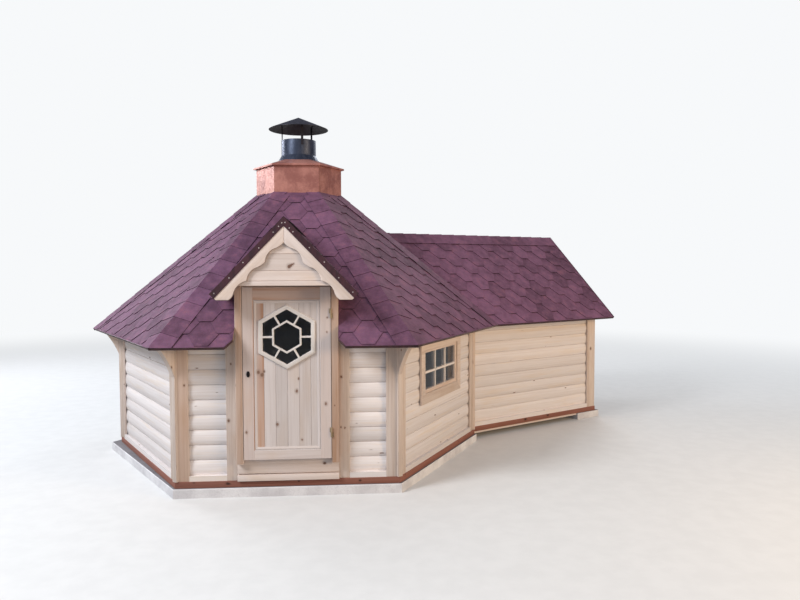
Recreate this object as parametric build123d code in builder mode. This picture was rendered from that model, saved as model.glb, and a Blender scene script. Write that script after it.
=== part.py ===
from build123d import *
import os
from math import atan2, ceil, cos, degrees, radians, sin, sqrt, tan

os.makedirs("parts", exist_ok=True)

# Hexagonal timber grill hut with a gabled extension.
# Millimetres, +Z up. The origin is the hexagon's centre on the ground and the door faces -Y.

# Plan of the hexagon and of the extension
SIDE = 1880.0  # side of the hexagon on the face of the cover boards
EXT_INSET = 90.0  # from a hexagon corner to the extension's side wall
EXT_LENGTH = 2090.0  # from the hexagon's side to the face of the end wall
EXT_ANGLE = 30.0  # the way the extension runs, in plan

# Base, sills and floors
BASE_H = 80.0
BASE_EDGE = 25.0  # the base stands proud of the walls
BASE_CORNER_OUT = 75.0  # its left corner stands out further
BASE_BEVEL = 6.0
SILL_H = 55.0
SILL_W = 95.0
SILL_EDGE = 6.0
FLOOR_T = 28.0
BATTEN_W = 60.0
BATTEN_PITCH = 480.0
BLOCK_L = 390.0
BLOCK_W = 190.0
BLOCK_OUT = 60.0
BLOCK_SIDE_OUT = 20.0

# Log walls, cover boards and posts
LOG_T = 45.0
LOG_PITCH = 127.0
LOG_BULGE = 13.0
BOARD_T = 22.0
COVER_W = 90.0
SKIRT_H = 45.0
POST_W = 45.0
POST_NOSE = 8.0
POST_INSIDE = 18.0
RETURN_T = 45.0
EXT_COVER_W = 140.0

# Roof
ROOF_PITCH = 43.3
ROOF_T = 30.0
EAVE_Z = 1265.0  # lower edge of the eave above the ground
EAVE_OUT = 215.0
EAVE_CLIP = 60.0  # corner cut off the front eave on both sides of the door
RAKE_OUT = 80.0

# Curved brackets under the eaves
BRACKET_OUT = 178.0
BRACKET_FOOT_Z = 1015.0
BRACKET_TIP_H = 30.0
BRACKET_HOLLOW = 12.0
BRACKET_CORNERS = ("front_left", "front_right", "left", "back_left")

# Door, its frame and threshold
DOOR_W = 722.0
DOOR_H = 1434.0
DOOR_T = 40.0
DOOR_GAP = 5.0
DOOR_GAP_LOW = 6.0
JAMB_W = 58.0
FRAME_OUT = 72.0  # frame front ahead of the wall face
HEAD_H = 55.0
STOP_LAP = 14.0
TRIM_W = 90.0
THRESHOLD_H = 186.0
THRESHOLD_OUT = 22.0
LIP_H = 52.0
LIP_OUT = 32.0
LIP_GROOVE = 10.0
JAMB_LAP = 31.0
STILE_W = 85.0
TOP_RAIL = 105.0
BOTTOM_RAIL = 76.0
FIELD_DEPTH = 8.0
FIELD_BEVEL = 5.0

# Hinges and lock
HINGE_R = 7.0
HINGE_PIN_R = 3.5
HINGE_FIT = 0.05
HINGE_L = 80.0
HINGE_PLATE_W = 14.0
HINGE_PLATE_T = 2.5
HINGE_AHEAD = 0.5
HINGE_INSET = 220.0
HINGE_SLIT = 0.3
LOCK_HEIGHT = 716.0  # above the foot of the leaf
LOCK_W = 28.0
LOCK_H = 52.0
LOCK_T = 5.0
LOCK_BARREL_R = 8.0
LOCK_BARREL_OUT = 9.0

# Hexagonal light in the door
LIGHT_DROP = 413.0  # below the head of the leaf
LIGHT_R = 229.0
LIGHT_REBATE = 11.0
MOULD_R = 270.0
MOULD_T = 14.0
MOULD_BEVEL = 5.0
INNER_LIGHT_R = 130.0
BAR_W = 15.0
GLASS_T = 6.0
GLASS_FIT = 0.2

# Window in the right wall
WINDOW_U = 20.0
WINDOW_W = 754.0
WINDOW_H = 344.0
WINDOW_Z = 781.0
SASH_W = 45.0
SASH_OUT = 4.0
CASING_W = 90.0
CASING_LAP = 12.0

# Dormer over the door
DORMER_PITCH = 46.0
DORMER_SIDE_H = 84.0  # gable boards beside the jambs, above the door's head
DORMER_SIDE_OUT = 168.0
DORMER_T = 28.0
DORMER_OUT = 252.0  # bargeboard face ahead of the wall face
CHEEK_END_H = 25.0
CHEEK_T = 20.0
GABLE_T = 28.0
SOFFIT_T = 20.0
SOFFIT_LIFT = 10.0  # soffit above the head of the doorway
BARGE_T = 22.0
BARGE_W = 116.0
BARGE_DROP = 105.0  # below the door's head
LOBE_COUNT = 3
FLASHING_T = 4.0
FLASHING_H = 52.0

# Smoke collar, lid, pipe and hat
COLLAR_R = 444.0
COLLAR_T = 18.0
COLLAR_H = 301.5
LID_OUT = 32.0
LID_EDGE = 16.0
LID_RISE = 84.0
LID_T = 10.0
PIPE_R = 180.0
PIPE_T = 4.0
PIPE_H = 220.0
PIPE_DROP = 120.0
FLARE_OUT = 34.0
FLARE_H = 60.0
HAT_R = 310.0
HAT_GAP = 120.0
HAT_RISE = 128.0
HAT_T = 4.0
HAT_LEGS = 3
HAT_LEG_W = 25.0
HAT_LEG_T = 4.0
HAT_LEG_LAP = 60.0

# Worked-out places
UP = Vector(0, 0, 1)
COS30 = sqrt(3) / 2
INRADIUS = SIDE * COS30
SILL_TOP = BASE_H + SILL_H
WALL_T = LOG_T + BOARD_T
INNER = INRADIUS - WALL_T
SILL_RUN = INRADIUS + SILL_EDGE
FLOOR_RUN = SILL_RUN - SILL_W
SLOPE = tan(radians(ROOF_PITCH))
EAVE_RUN = INRADIUS + EAVE_OUT
EXT_HALF = SIDE / 2 - EXT_INSET
EXT_END = INRADIUS + EXT_LENGTH
EXT_RUN = EXT_HALF + EAVE_OUT
EXT_SILL_END = EXT_END + SILL_EDGE
EXT_SILL_HALF = EXT_HALF + SILL_EDGE
BEYOND = EXT_END + RAKE_OUT + EAVE_RUN  # longer than anything that it cuts
CORNERS = {"right": 0, "back_right": 60, "back_left": 120, "left": 180, "front_left": 240, "front_right": 300}
FRONT, RIGHT, LEFT_FRONT, LEFT_BACK, BACK = 270, 330, 210, 150, 90
EXT_FRONT, EXT_BACK = EXT_ANGLE - 90, EXT_ANGLE + 90

DOOR_HALF = DOOR_W / 2 + DOOR_GAP
FRAME_HALF = DOOR_HALF + JAMB_W
TRIM_HALF = FRAME_HALF + TRIM_W
FRAME_RUN = INRADIUS + FRAME_OUT
THRESHOLD_Z = SILL_TOP + THRESHOLD_H
LEAF_Z = THRESHOLD_Z + DOOR_GAP_LOW
LEAF_TOP = LEAF_Z + DOOR_H
HEAD_Z = LEAF_TOP + DOOR_GAP_LOW
LEAF_BACK = FRAME_RUN - DOOR_T
FIELD_RUN = FRAME_RUN - FIELD_DEPTH
DORMER_RUN = INRADIUS + DORMER_OUT
DORMER_SLOPE = tan(radians(DORMER_PITCH))
DORMER_UNDER_Z = HEAD_Z + HEAD_H + DORMER_SIDE_H + DORMER_SLOPE * DOOR_HALF
DORMER_APEX_Z = DORMER_UNDER_Z + DORMER_T / cos(radians(DORMER_PITCH))
DORMER_HALF = FRAME_HALF + DORMER_SIDE_OUT
CHEEK_TOP_Z = DORMER_UNDER_Z - DORMER_SLOPE * FRAME_HALF
NOTCH_RUN = EAVE_RUN - (CHEEK_TOP_Z - CHEEK_END_H - EAVE_Z) / SLOPE
BARGE_BOTTOM_Z = HEAD_Z - BARGE_DROP
LIGHT_Z = LEAF_TOP - LIGHT_DROP
LOCK_Z = LEAF_Z + LOCK_HEIGHT

COLLAR_RUN = COLLAR_R * COS30
COLLAR_Z = EAVE_Z + SLOPE * (EAVE_RUN - COLLAR_RUN)
COLLAR_TOP_Z = COLLAR_Z + COLLAR_H
LID_R = COLLAR_R + LID_OUT
LID_TOP_R = PIPE_R + FLARE_OUT
LID_TOP_Z = COLLAR_TOP_Z + LID_RISE
PIPE_TOP_Z = LID_TOP_Z + PIPE_H
HAT_Z = PIPE_TOP_Z + HAT_GAP


def outward(angle):
    """Unit vector that points out of the building at this angle in plan."""
    return Vector(cos(radians(angle)), sin(radians(angle)), 0)


def plan_plane(angle, height=0.0):
    """Level plane whose x runs out of the building at this angle."""
    return Plane(origin=(0, 0, height), x_dir=outward(angle), z_dir=(0, 0, 1))


def section_plane(angle, shift=0.0):
    """Upright plane across a wall, x outward and y up, shifted to the right as seen from outside."""
    along = outward(angle + 90)
    return Plane(origin=along * shift, x_dir=outward(angle), z_dir=along * -1)


def facing_plane(angle, run):
    """Upright plane that faces out of the building, x to the right and y up."""
    return Plane(origin=outward(angle) * run, x_dir=outward(angle + 90), z_dir=outward(angle))


def slope_plane(angle, run, lift=0.0):
    """Underside of the roof slope whose eave lies at this run, or a plane above it."""
    normal = outward(angle) * sin(radians(ROOF_PITCH)) + UP * cos(radians(ROOF_PITCH))
    return Plane(origin=outward(angle) * run + UP * EAVE_Z + normal * lift, z_dir=normal)


def dormer_plane(side):
    """Underside of the dormer's slope on the right for +1 and on the left for -1."""
    normal = Vector(side * sin(radians(DORMER_PITCH)), 0, cos(radians(DORMER_PITCH)))
    return Plane(origin=UP * DORMER_UNDER_Z, z_dir=normal)


def corner_plane(corner, side):
    """Side face of a corner post, anticlockwise of it for +1 and clockwise for -1."""
    across = outward(corner + 90)
    return Plane(origin=across * (side * POST_W / 2), z_dir=across)


def under_z(distance, run=EAVE_RUN):
    """Height of a slope's underside at a distance from the building's middle line."""
    return EAVE_Z + SLOPE * (run - distance)


def dormer_z(half, apex=DORMER_UNDER_Z):
    """Height on the dormer's slope at a distance from its middle."""
    return apex - DORMER_SLOPE * half


def save(piece, name):
    """Label a finished piece and write its file."""
    piece.part.label = name
    export_step(piece.part, f"parts/{name}.step")


# Base, sills and floors

with BuildPart() as foundation_slab:
    slab_run = INRADIUS + BASE_EDGE
    slab_r = slab_run / COS30
    with BuildSketch():
        RegularPolygon(slab_r, 6)
        with BuildLine():
            Polyline((-slab_r / 2, -slab_run), (-slab_r / 2, slab_run), (-slab_r - BASE_CORNER_OUT, 0), close=True)
        make_face()
    extrude(amount=BASE_H)
    chamfer(foundation_slab.faces().sort_by(Axis.Z)[-1].edges(), BASE_BEVEL)
save(foundation_slab, "foundation_slab")

with BuildPart() as foundation_blocks:
    block_s = EXT_END + BLOCK_OUT - BLOCK_L / 2
    block_q = EXT_HALF + BLOCK_SIDE_OUT - BLOCK_W / 2
    with BuildSketch(plan_plane(EXT_ANGLE)):
        with Locations((block_s, block_q), (block_s, -block_q)):
            Rectangle(BLOCK_L, BLOCK_W)
    extrude(amount=BASE_H)
save(foundation_blocks, "foundation_blocks")

with BuildPart() as sill_hexagon:
    with BuildSketch(Plane.XY.offset(BASE_H)):
        RegularPolygon(SILL_RUN / COS30, 6)
        RegularPolygon(FLOOR_RUN / COS30, 6, mode=Mode.SUBTRACT)
    extrude(amount=SILL_H)
save(sill_hexagon, "sill_hexagon")

with BuildPart() as sill_extension:
    with BuildSketch(plan_plane(EXT_ANGLE, BASE_H)):
        with Locations(((SILL_RUN + EXT_SILL_END) / 2, 0)):
            Rectangle(EXT_SILL_END - SILL_RUN, 2 * EXT_SILL_HALF)
        with Locations(((SILL_RUN + EXT_SILL_END - SILL_W) / 2, 0)):
            Rectangle(EXT_SILL_END - SILL_W - SILL_RUN, 2 * (EXT_SILL_HALF - SILL_W), mode=Mode.SUBTRACT)
    extrude(amount=SILL_H)
save(sill_extension, "sill_extension")

with BuildPart() as floor_main:
    with BuildSketch(Plane.XY.offset(SILL_TOP - FLOOR_T)):
        RegularPolygon(FLOOR_RUN / COS30, 6)
    extrude(amount=FLOOR_T)
    with BuildSketch(Plane.XY.offset(BASE_H)):
        with GridLocations(0, BATTEN_PITCH, 1, 2 * int(FLOOR_RUN / BATTEN_PITCH) + 1):
            Rectangle(BEYOND, BATTEN_W)
        RegularPolygon(FLOOR_RUN / COS30, 6, mode=Mode.INTERSECT)
    extrude(amount=SILL_H - FLOOR_T)
save(floor_main, "floor_main")

with BuildPart() as floor_extension:
    floor_length = EXT_SILL_END - SILL_W - SILL_RUN
    floor_mid = SILL_RUN + floor_length / 2
    floor_width = 2 * (EXT_SILL_HALF - SILL_W)
    with BuildSketch(plan_plane(EXT_ANGLE, SILL_TOP - FLOOR_T)):
        with Locations((floor_mid, 0)):
            Rectangle(floor_length, floor_width)
    extrude(amount=FLOOR_T)
    with BuildSketch(plan_plane(EXT_ANGLE, BASE_H)):
        with Locations((floor_mid, 0)):
            with GridLocations(BATTEN_PITCH, 0, int(floor_length / BATTEN_PITCH), 1):
                Rectangle(BATTEN_W, floor_width)
    extrude(amount=SILL_H - FLOOR_T)
save(floor_extension, "floor_extension")

# Log walls: flat inside, one convex course for every log outside, with a strip along the foot


def log_strip(angle, face, top, left, right):
    """Logs between two places along a wall, in the open builder."""
    crest = face - BOARD_T
    joint = crest - LOG_BULGE
    inside = face - WALL_T
    foot = SILL_TOP + SKIRT_H
    courses = ceil((top - foot) / LOG_PITCH)
    head = foot + courses * LOG_PITCH
    with BuildSketch(section_plane(angle, right)) as section:
        with BuildLine():
            Polyline((joint, head), (inside, head), (inside, SILL_TOP), (joint, SILL_TOP), (joint, foot))
            for course in range(courses):
                low = foot + course * LOG_PITCH
                ThreePointArc((joint, low), (crest, low + LOG_PITCH / 2), (joint, low + LOG_PITCH))
        make_face()
    extrude(section.sketch, amount=right - left)


def foot_strip(angle, face, left, right):
    """Strip along a wall's foot, in the open builder."""
    back = face - BOARD_T - LOG_BULGE
    with BuildSketch(section_plane(angle, right)) as section:
        with Locations(((back + face) / 2, SILL_TOP + SKIRT_H / 2)):
            Rectangle(face - back, SKIRT_H)
    extrude(section.sketch, amount=right - left)


def hexagon_wall(angle, left=-SIDE / 2, right=SIDE / 2, strip_left=None, strip_right=None):
    """Wall on one side of the hexagon, from post to post or from a post to the door frame."""
    strip_half = SIDE / 2 - POST_W / 2 / COS30 - COVER_W
    with BuildPart() as wall:
        log_strip(angle, INRADIUS, under_z(INNER), left, right)
        foot_strip(angle, INRADIUS, strip_left or -strip_half, strip_right or strip_half)
        split(bisect_by=slope_plane(angle, EAVE_RUN), keep=Keep.BOTTOM)
        if left == -SIDE / 2:
            split(bisect_by=corner_plane(angle - 30, 1), keep=Keep.TOP)
        if right == SIDE / 2:
            split(bisect_by=corner_plane(angle + 30, -1), keep=Keep.BOTTOM)
    return wall


save(hexagon_wall(FRONT, right=-FRAME_HALF, strip_right=-TRIM_HALF), "wall_front_left")
save(hexagon_wall(FRONT, left=FRAME_HALF, strip_left=TRIM_HALF), "wall_front_right")
save(hexagon_wall(LEFT_FRONT), "wall_left_front")
save(hexagon_wall(LEFT_BACK), "wall_left_back")
save(hexagon_wall(BACK), "wall_back")

WINDOW_MID = WINDOW_Z + WINDOW_H / 2
HOLE_W = WINDOW_W + 2 * SASH_W
HOLE_H = WINDOW_H + 2 * SASH_W

plain_right = hexagon_wall(RIGHT)
with BuildPart() as wall_right:
    add(plain_right.part)
    with BuildSketch(facing_plane(RIGHT, INNER)):
        with Locations((WINDOW_U, WINDOW_MID)):
            Rectangle(HOLE_W, HOLE_H)
    extrude(amount=WALL_T, mode=Mode.SUBTRACT)
save(wall_right, "wall_right")


def extension_wall(angle, left, right, strip_left, strip_right):
    """Side wall of the extension, from the hexagon to the far corner post."""
    with BuildPart() as wall:
        log_strip(angle, EXT_HALF, under_z(EXT_HALF - WALL_T, EXT_RUN), left, right)
        foot_strip(angle, EXT_HALF, strip_left, strip_right)
        split(bisect_by=slope_plane(angle, EXT_RUN), keep=Keep.BOTTOM)
    return wall


LOG_END = EXT_END - WALL_T
STRIP_START = INRADIUS + COVER_W
STRIP_END = EXT_END - EXT_COVER_W
save(extension_wall(EXT_FRONT, INRADIUS, LOG_END, STRIP_START, STRIP_END), "extension_wall_front")
save(extension_wall(EXT_BACK, -LOG_END, -INRADIUS, -STRIP_END, -STRIP_START), "extension_wall_back")

with BuildPart() as extension_wall_end:
    end_half = EXT_HALF - WALL_T
    end_strip = EXT_HALF - EXT_COVER_W
    log_strip(EXT_ANGLE, EXT_END, under_z(0, EXT_RUN), -end_half, end_half)
    foot_strip(EXT_ANGLE, EXT_END, -end_strip, end_strip)
    split(bisect_by=slope_plane(EXT_FRONT, EXT_RUN), keep=Keep.BOTTOM)
    split(bisect_by=slope_plane(EXT_BACK, EXT_RUN), keep=Keep.BOTTOM)
save(extension_wall_end, "extension_wall_end")

# Corner posts of the hexagon: a radial post with a cover board on each wall beside it


def board_outline(side, length, thickness):
    """Plan of a board along one wall beside a post, in the post's own axes."""
    normal = Vector(COS30, side / 2)
    along = Vector(-0.5, side * COS30)
    edge = side * POST_W / 2
    outer = Vector((INRADIUS - POST_W / 4) / COS30, edge)
    inner = Vector((INRADIUS - thickness - POST_W / 4) / COS30, edge)
    tip = outer + along * length
    with BuildLine() as outline:
        Polyline(outer, tip, tip - normal * thickness, inner, close=True)
    make_face(outline.edges())


def corner_post(corner):
    """Post with its boards: a cover board on a wall, or a return stud towards the extension's wall."""
    post_in = INNER / COS30 - POST_INSIDE
    post_out = SIDE + POST_NOSE
    return_l = EXT_INSET + WALL_T - POST_W / 2 / COS30
    with BuildPart() as post:
        with BuildSketch(plan_plane(corner, SILL_TOP)):
            with Locations(((post_in + post_out) / 2, 0)):
                Rectangle(post_out - post_in, POST_W)
            for side in (1, -1):
                if corner + side * 30 == EXT_ANGLE:
                    board_outline(side, return_l, RETURN_T)
                else:
                    board_outline(side, COVER_W, BOARD_T)
        extrude(amount=under_z(INNER) - SILL_TOP)
        split(bisect_by=slope_plane(corner + 30, EAVE_RUN), keep=Keep.BOTTOM)
        split(bisect_by=slope_plane(corner - 30, EAVE_RUN), keep=Keep.BOTTOM)
    return post


hexagon_posts = [corner_post(corner) for corner in CORNERS.values()]
with BuildPart() as corner_posts:
    add([post.part for post in hexagon_posts])
save(corner_posts, "corner_posts")

# Posts and cover boards of the extension


def extension_post(side):
    """Far corner post with a cover board on both walls, on the back for +1 and the front for -1."""
    with BuildPart() as post:
        with BuildSketch(plan_plane(EXT_ANGLE, SILL_TOP)):
            with Locations((EXT_END - EXT_COVER_W / 2, side * (EXT_HALF - BOARD_T / 2))):
                Rectangle(EXT_COVER_W, BOARD_T)
            with Locations((EXT_END - BOARD_T / 2, side * (EXT_HALF - EXT_COVER_W / 2))):
                Rectangle(BOARD_T, EXT_COVER_W)
            with Locations((EXT_END - WALL_T / 2, side * (EXT_HALF - WALL_T / 2))):
                Rectangle(WALL_T, WALL_T)
        extrude(amount=under_z(0, EXT_RUN) - SILL_TOP)
        split(bisect_by=slope_plane(EXT_ANGLE + side * 90, EXT_RUN), keep=Keep.BOTTOM)
    return post


def extension_board(side):
    """Cover board where the extension's side wall meets the hexagon."""
    with BuildPart() as board:
        with BuildSketch(plan_plane(EXT_ANGLE, SILL_TOP)):
            with Locations((INRADIUS + COVER_W / 2, side * (EXT_HALF - BOARD_T / 2))):
                Rectangle(COVER_W, BOARD_T)
        extrude(amount=under_z(0, EXT_RUN) - SILL_TOP)
        split(bisect_by=slope_plane(EXT_ANGLE + side * 90, EXT_RUN), keep=Keep.BOTTOM)
    return board


extension_pieces = [maker(side) for maker in (extension_post, extension_board) for side in (1, -1)]
with BuildPart() as extension_posts:
    add([piece.part for piece in extension_pieces])
save(extension_posts, "extension_posts")

# Curved brackets under the eaves, on the posts whose eaves are free
with BuildPart() as eave_brackets:
    nose = SIDE + POST_NOSE
    hip_slope = SLOPE * COS30
    tip_run = nose + BRACKET_OUT
    tip_z = EAVE_Z + hip_slope * (EAVE_RUN / COS30 - tip_run)
    foot = Vector(nose, BRACKET_FOOT_Z)
    tip = Vector(tip_run, tip_z - BRACKET_TIP_H)
    hollow = (foot + tip) * 0.5 + Vector(-BRACKET_HOLLOW, BRACKET_HOLLOW)
    for place in BRACKET_CORNERS:
        with BuildSketch(section_plane(CORNERS[place])):
            with BuildLine():
                ThreePointArc(foot, hollow, tip)
                Polyline(tip, (tip_run, tip_z), (nose, tip_z + hip_slope * BRACKET_OUT), foot)
            make_face()
        extrude(amount=POST_W / 2, both=True)
    for angle in (LEFT_BACK, LEFT_FRONT, FRONT, RIGHT, BACK):
        with BuildSketch(section_plane(angle, SIDE)):
            with BuildLine():
                Polyline((0, under_z(0)), (EAVE_RUN, EAVE_Z), (EAVE_RUN, under_z(0)), close=True)
            make_face()
        extrude(amount=2 * SIDE, mode=Mode.SUBTRACT)
save(eave_brackets, "eave_brackets")

# Door frame with stops, trims beside it and the threshold under it

with BuildPart() as threshold:
    with BuildSketch(section_plane(FRONT, FRAME_HALF)):
        with BuildLine():
            face = INRADIUS + THRESHOLD_OUT
            lip_top = SILL_TOP + LIP_H
            Polyline(
                (INNER, SILL_TOP),
                (INRADIUS + LIP_OUT, SILL_TOP),
                (INRADIUS + LIP_OUT, lip_top),
                (INRADIUS, lip_top),
                (INRADIUS, lip_top + LIP_GROOVE),
                (face, lip_top + LIP_GROOVE),
                (face, THRESHOLD_Z),
                (INNER, THRESHOLD_Z),
                close=True,
            )
        make_face()
    extrude(amount=2 * FRAME_HALF)
save(threshold, "threshold")

with BuildPart() as door_frame:
    stop_run = LEAF_BACK - DOOR_GAP
    jamb_x = DOOR_HALF + JAMB_W / 2
    with BuildSketch(Plane.XY.offset(THRESHOLD_Z)):
        with Locations((jamb_x, -(INNER + FRAME_RUN) / 2), (-jamb_x, -(INNER + FRAME_RUN) / 2)):
            Rectangle(JAMB_W, FRAME_RUN - INNER)
        stop_x = DOOR_HALF - STOP_LAP / 2
        with Locations((stop_x, -(INNER + stop_run) / 2), (-stop_x, -(INNER + stop_run) / 2)):
            Rectangle(STOP_LAP, stop_run - INNER)
    extrude(amount=DORMER_APEX_Z - THRESHOLD_Z)
    lap_run = INRADIUS + THRESHOLD_OUT
    with BuildSketch(Plane.XY.offset(THRESHOLD_Z)):
        with Locations((jamb_x, -(lap_run + FRAME_RUN) / 2), (-jamb_x, -(lap_run + FRAME_RUN) / 2)):
            Rectangle(JAMB_W, FRAME_RUN - lap_run)
    extrude(amount=-JAMB_LAP)
    with BuildSketch(section_plane(FRONT, DOOR_HALF)):
        with Locations(((INNER + FRAME_RUN) / 2, HEAD_Z + HEAD_H / 2)):
            Rectangle(FRAME_RUN - INNER, HEAD_H)
        with Locations(((INNER + stop_run) / 2, HEAD_Z - STOP_LAP / 2)):
            Rectangle(stop_run - INNER, STOP_LAP)
    extrude(amount=2 * DOOR_HALF)
    for side in (1, -1):
        split(bisect_by=dormer_plane(side), keep=Keep.BOTTOM)
save(door_frame, "door_frame")

with BuildPart() as door_trims:
    trim_x = FRAME_HALF + TRIM_W / 2
    with BuildSketch(Plane.XY.offset(SILL_TOP)):
        with Locations((trim_x, -(INRADIUS - BOARD_T / 2)), (-trim_x, -(INRADIUS - BOARD_T / 2))):
            Rectangle(TRIM_W, BOARD_T)
    extrude(amount=under_z(INNER) - SILL_TOP)
    split(bisect_by=slope_plane(FRONT, EAVE_RUN), keep=Keep.BOTTOM)
save(door_trims, "door_trims")

# Door leaf with a sunk field, and its hexagonal light

with BuildPart() as door_leaf:
    with BuildSketch(facing_plane(FRONT, LEAF_BACK)):
        with Locations((0, LEAF_Z + DOOR_H / 2)):
            Rectangle(DOOR_W, DOOR_H)
    extrude(amount=DOOR_T)
    field_h = DOOR_H - TOP_RAIL - BOTTOM_RAIL
    with BuildSketch(facing_plane(FRONT, FRAME_RUN)) as field:
        with Locations((0, LEAF_Z + BOTTOM_RAIL + field_h / 2)):
            Rectangle(DOOR_W - 2 * STILE_W, field_h)
    extrude(amount=-FIELD_DEPTH, mode=Mode.SUBTRACT, taper=45)
    with BuildSketch(facing_plane(FRONT, LEAF_BACK)):
        with Locations((0, LIGHT_Z)):
            RegularPolygon(LIGHT_R, 6, rotation=30)
    extrude(amount=DOOR_T, mode=Mode.SUBTRACT)
    glass_back = LEAF_BACK + (DOOR_T - FIELD_DEPTH - GLASS_T) / 2
    with BuildSketch(facing_plane(FRONT, glass_back)):
        with Locations((0, LIGHT_Z)):
            RegularPolygon(LIGHT_R + LIGHT_REBATE, 6, rotation=30)
    extrude(amount=DOOR_T, mode=Mode.SUBTRACT)
save(door_leaf, "door_leaf")

with BuildPart() as door_glass:
    with BuildSketch(facing_plane(FRONT, glass_back)):
        with Locations((0, LIGHT_Z)):
            RegularPolygon(LIGHT_R + LIGHT_REBATE - GLASS_FIT, 6, rotation=30)
    extrude(amount=GLASS_T)
save(door_glass, "door_glass")

with BuildPart() as door_light:
    glass_front = glass_back + GLASS_T
    with BuildSketch(facing_plane(FRONT, FIELD_RUN)):
        with Locations((0, LIGHT_Z)):
            RegularPolygon(MOULD_R, 6, rotation=30)
    extrude(amount=MOULD_T, taper=20)
    with BuildSketch(facing_plane(FRONT, glass_front)):
        with Locations((0, LIGHT_Z)):
            RegularPolygon(LIGHT_R + LIGHT_REBATE - GLASS_FIT, 6, rotation=30)
    extrude(amount=FIELD_RUN - glass_front)
    with BuildSketch(facing_plane(FRONT, glass_front)):
        with Locations((0, LIGHT_Z)):
            RegularPolygon(LIGHT_R, 6, rotation=30)
            RegularPolygon(INNER_LIGHT_R + BAR_W / 2 / COS30, 6, rotation=30, mode=Mode.SUBTRACT)
            with PolarLocations((LIGHT_R * COS30) / 2, 6):
                Rectangle(LIGHT_R, BAR_W, mode=Mode.SUBTRACT)
    extrude(amount=DOOR_T, mode=Mode.SUBTRACT)
    with BuildSketch(facing_plane(FRONT, glass_front)):
        with Locations((0, LIGHT_Z)):
            RegularPolygon(INNER_LIGHT_R - BAR_W / 2 / COS30, 6, rotation=30)
    extrude(amount=DOOR_T, mode=Mode.SUBTRACT)
save(door_light, "door_light")

with BuildPart() as door_lock:
    with BuildSketch(facing_plane(FRONT, FRAME_RUN)):
        with Locations((-(DOOR_W - STILE_W) / 2, LOCK_Z)):
            Ellipse(LOCK_W / 2, LOCK_H / 2)
    extrude(amount=LOCK_T)
    with BuildSketch(facing_plane(FRONT, FRAME_RUN)):
        with Locations((-(DOOR_W - STILE_W) / 2, LOCK_Z)):
            Circle(LOCK_BARREL_R)
    extrude(amount=LOCK_BARREL_OUT)
save(door_lock, "door_lock")

# Hinges: knuckles and plates on the leaf, pins and lower knuckles on the frame

HINGE_X = DOOR_HALF - DOOR_GAP / 2
HINGE_RUN = FRAME_RUN + HINGE_R + HINGE_AHEAD
HINGE_ZS = (LEAF_Z + HINGE_INSET, LEAF_TOP - HINGE_INSET)

with BuildPart() as hinges_leaf:
    for z in HINGE_ZS:
        with BuildSketch(Plane.XY.offset(z + HINGE_SLIT)):
            with Locations((HINGE_X, -HINGE_RUN)):
                Circle(HINGE_R)
            with Locations((DOOR_W / 2 - HINGE_PLATE_W / 2, -(FRAME_RUN + HINGE_PLATE_T / 2))):
                Rectangle(HINGE_PLATE_W, HINGE_PLATE_T)
            with Locations((HINGE_X, -HINGE_RUN)):
                Circle(HINGE_PIN_R + HINGE_FIT, mode=Mode.SUBTRACT)
        extrude(amount=HINGE_L / 2)
save(hinges_leaf, "hinges_leaf")

with BuildPart() as hinges_frame:
    for z in HINGE_ZS:
        with BuildSketch(Plane.XY.offset(z)):
            with Locations((HINGE_X, -HINGE_RUN)):
                Circle(HINGE_R)
            with Locations((DOOR_HALF + HINGE_PLATE_W / 2, -(FRAME_RUN + HINGE_PLATE_T / 2))):
                Rectangle(HINGE_PLATE_W, HINGE_PLATE_T)
        extrude(amount=-HINGE_L / 2)
        with BuildSketch(Plane.XY.offset(z)):
            with Locations((HINGE_X, -HINGE_RUN)):
                Circle(HINGE_PIN_R)
        extrude(amount=HINGE_L / 2)
save(hinges_frame, "hinges_frame")

# Window frame: a sash through the wall and a casing on its face

with BuildPart() as window_frame:
    with BuildSketch(facing_plane(RIGHT, INNER)):
        with Locations((WINDOW_U, WINDOW_MID)):
            Rectangle(HOLE_W, HOLE_H)
            Rectangle(WINDOW_W, WINDOW_H, mode=Mode.SUBTRACT)
    extrude(amount=LOG_T + SASH_OUT)
    with BuildSketch(facing_plane(RIGHT, INRADIUS - BOARD_T)):
        with Locations((WINDOW_U, WINDOW_MID)):
            Rectangle(HOLE_W + 2 * (CASING_W - CASING_LAP), HOLE_H + 2 * (CASING_W - CASING_LAP))
            Rectangle(HOLE_W - 2 * CASING_LAP, HOLE_H - 2 * CASING_LAP, mode=Mode.SUBTRACT)
    extrude(amount=BOARD_T)
save(window_frame, "window_frame")

with BuildPart() as window_glass:
    with BuildSketch(facing_plane(RIGHT, INNER + LOG_T / 2)):
        with Locations((WINDOW_U, WINDOW_MID)):
            Rectangle(WINDOW_W - 2 * GLASS_FIT, WINDOW_H - 2 * GLASS_FIT)
    extrude(amount=GLASS_T)
save(window_glass, "window_glass")

# Roof slopes of the hexagon and of the extension


def slope_strip(angle, run, top, left, right):
    """Roof slope from its eave up to a distance from the middle, in the open builder."""
    rise, reach = ROOF_T * cos(radians(ROOF_PITCH)), ROOF_T * sin(radians(ROOF_PITCH))
    with BuildSketch(section_plane(angle, right)) as section:
        with BuildLine():
            Polyline(
                (run, EAVE_Z),
                (run + reach, EAVE_Z + rise),
                (top, under_z(top, run) + ROOF_T / cos(radians(ROOF_PITCH))),
                (top, under_z(top, run)),
                close=True,
            )
        make_face()
    extrude(section.sketch, amount=right - left)


def valley_plane(angle, run, other_angle, other_run):
    """Upright plane over the line where two slopes meet, facing the first one's side."""
    apart = outward(other_angle) - outward(angle)
    return Plane(origin=apart * ((other_run - run) / apart.length**2), z_dir=apart)


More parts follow.
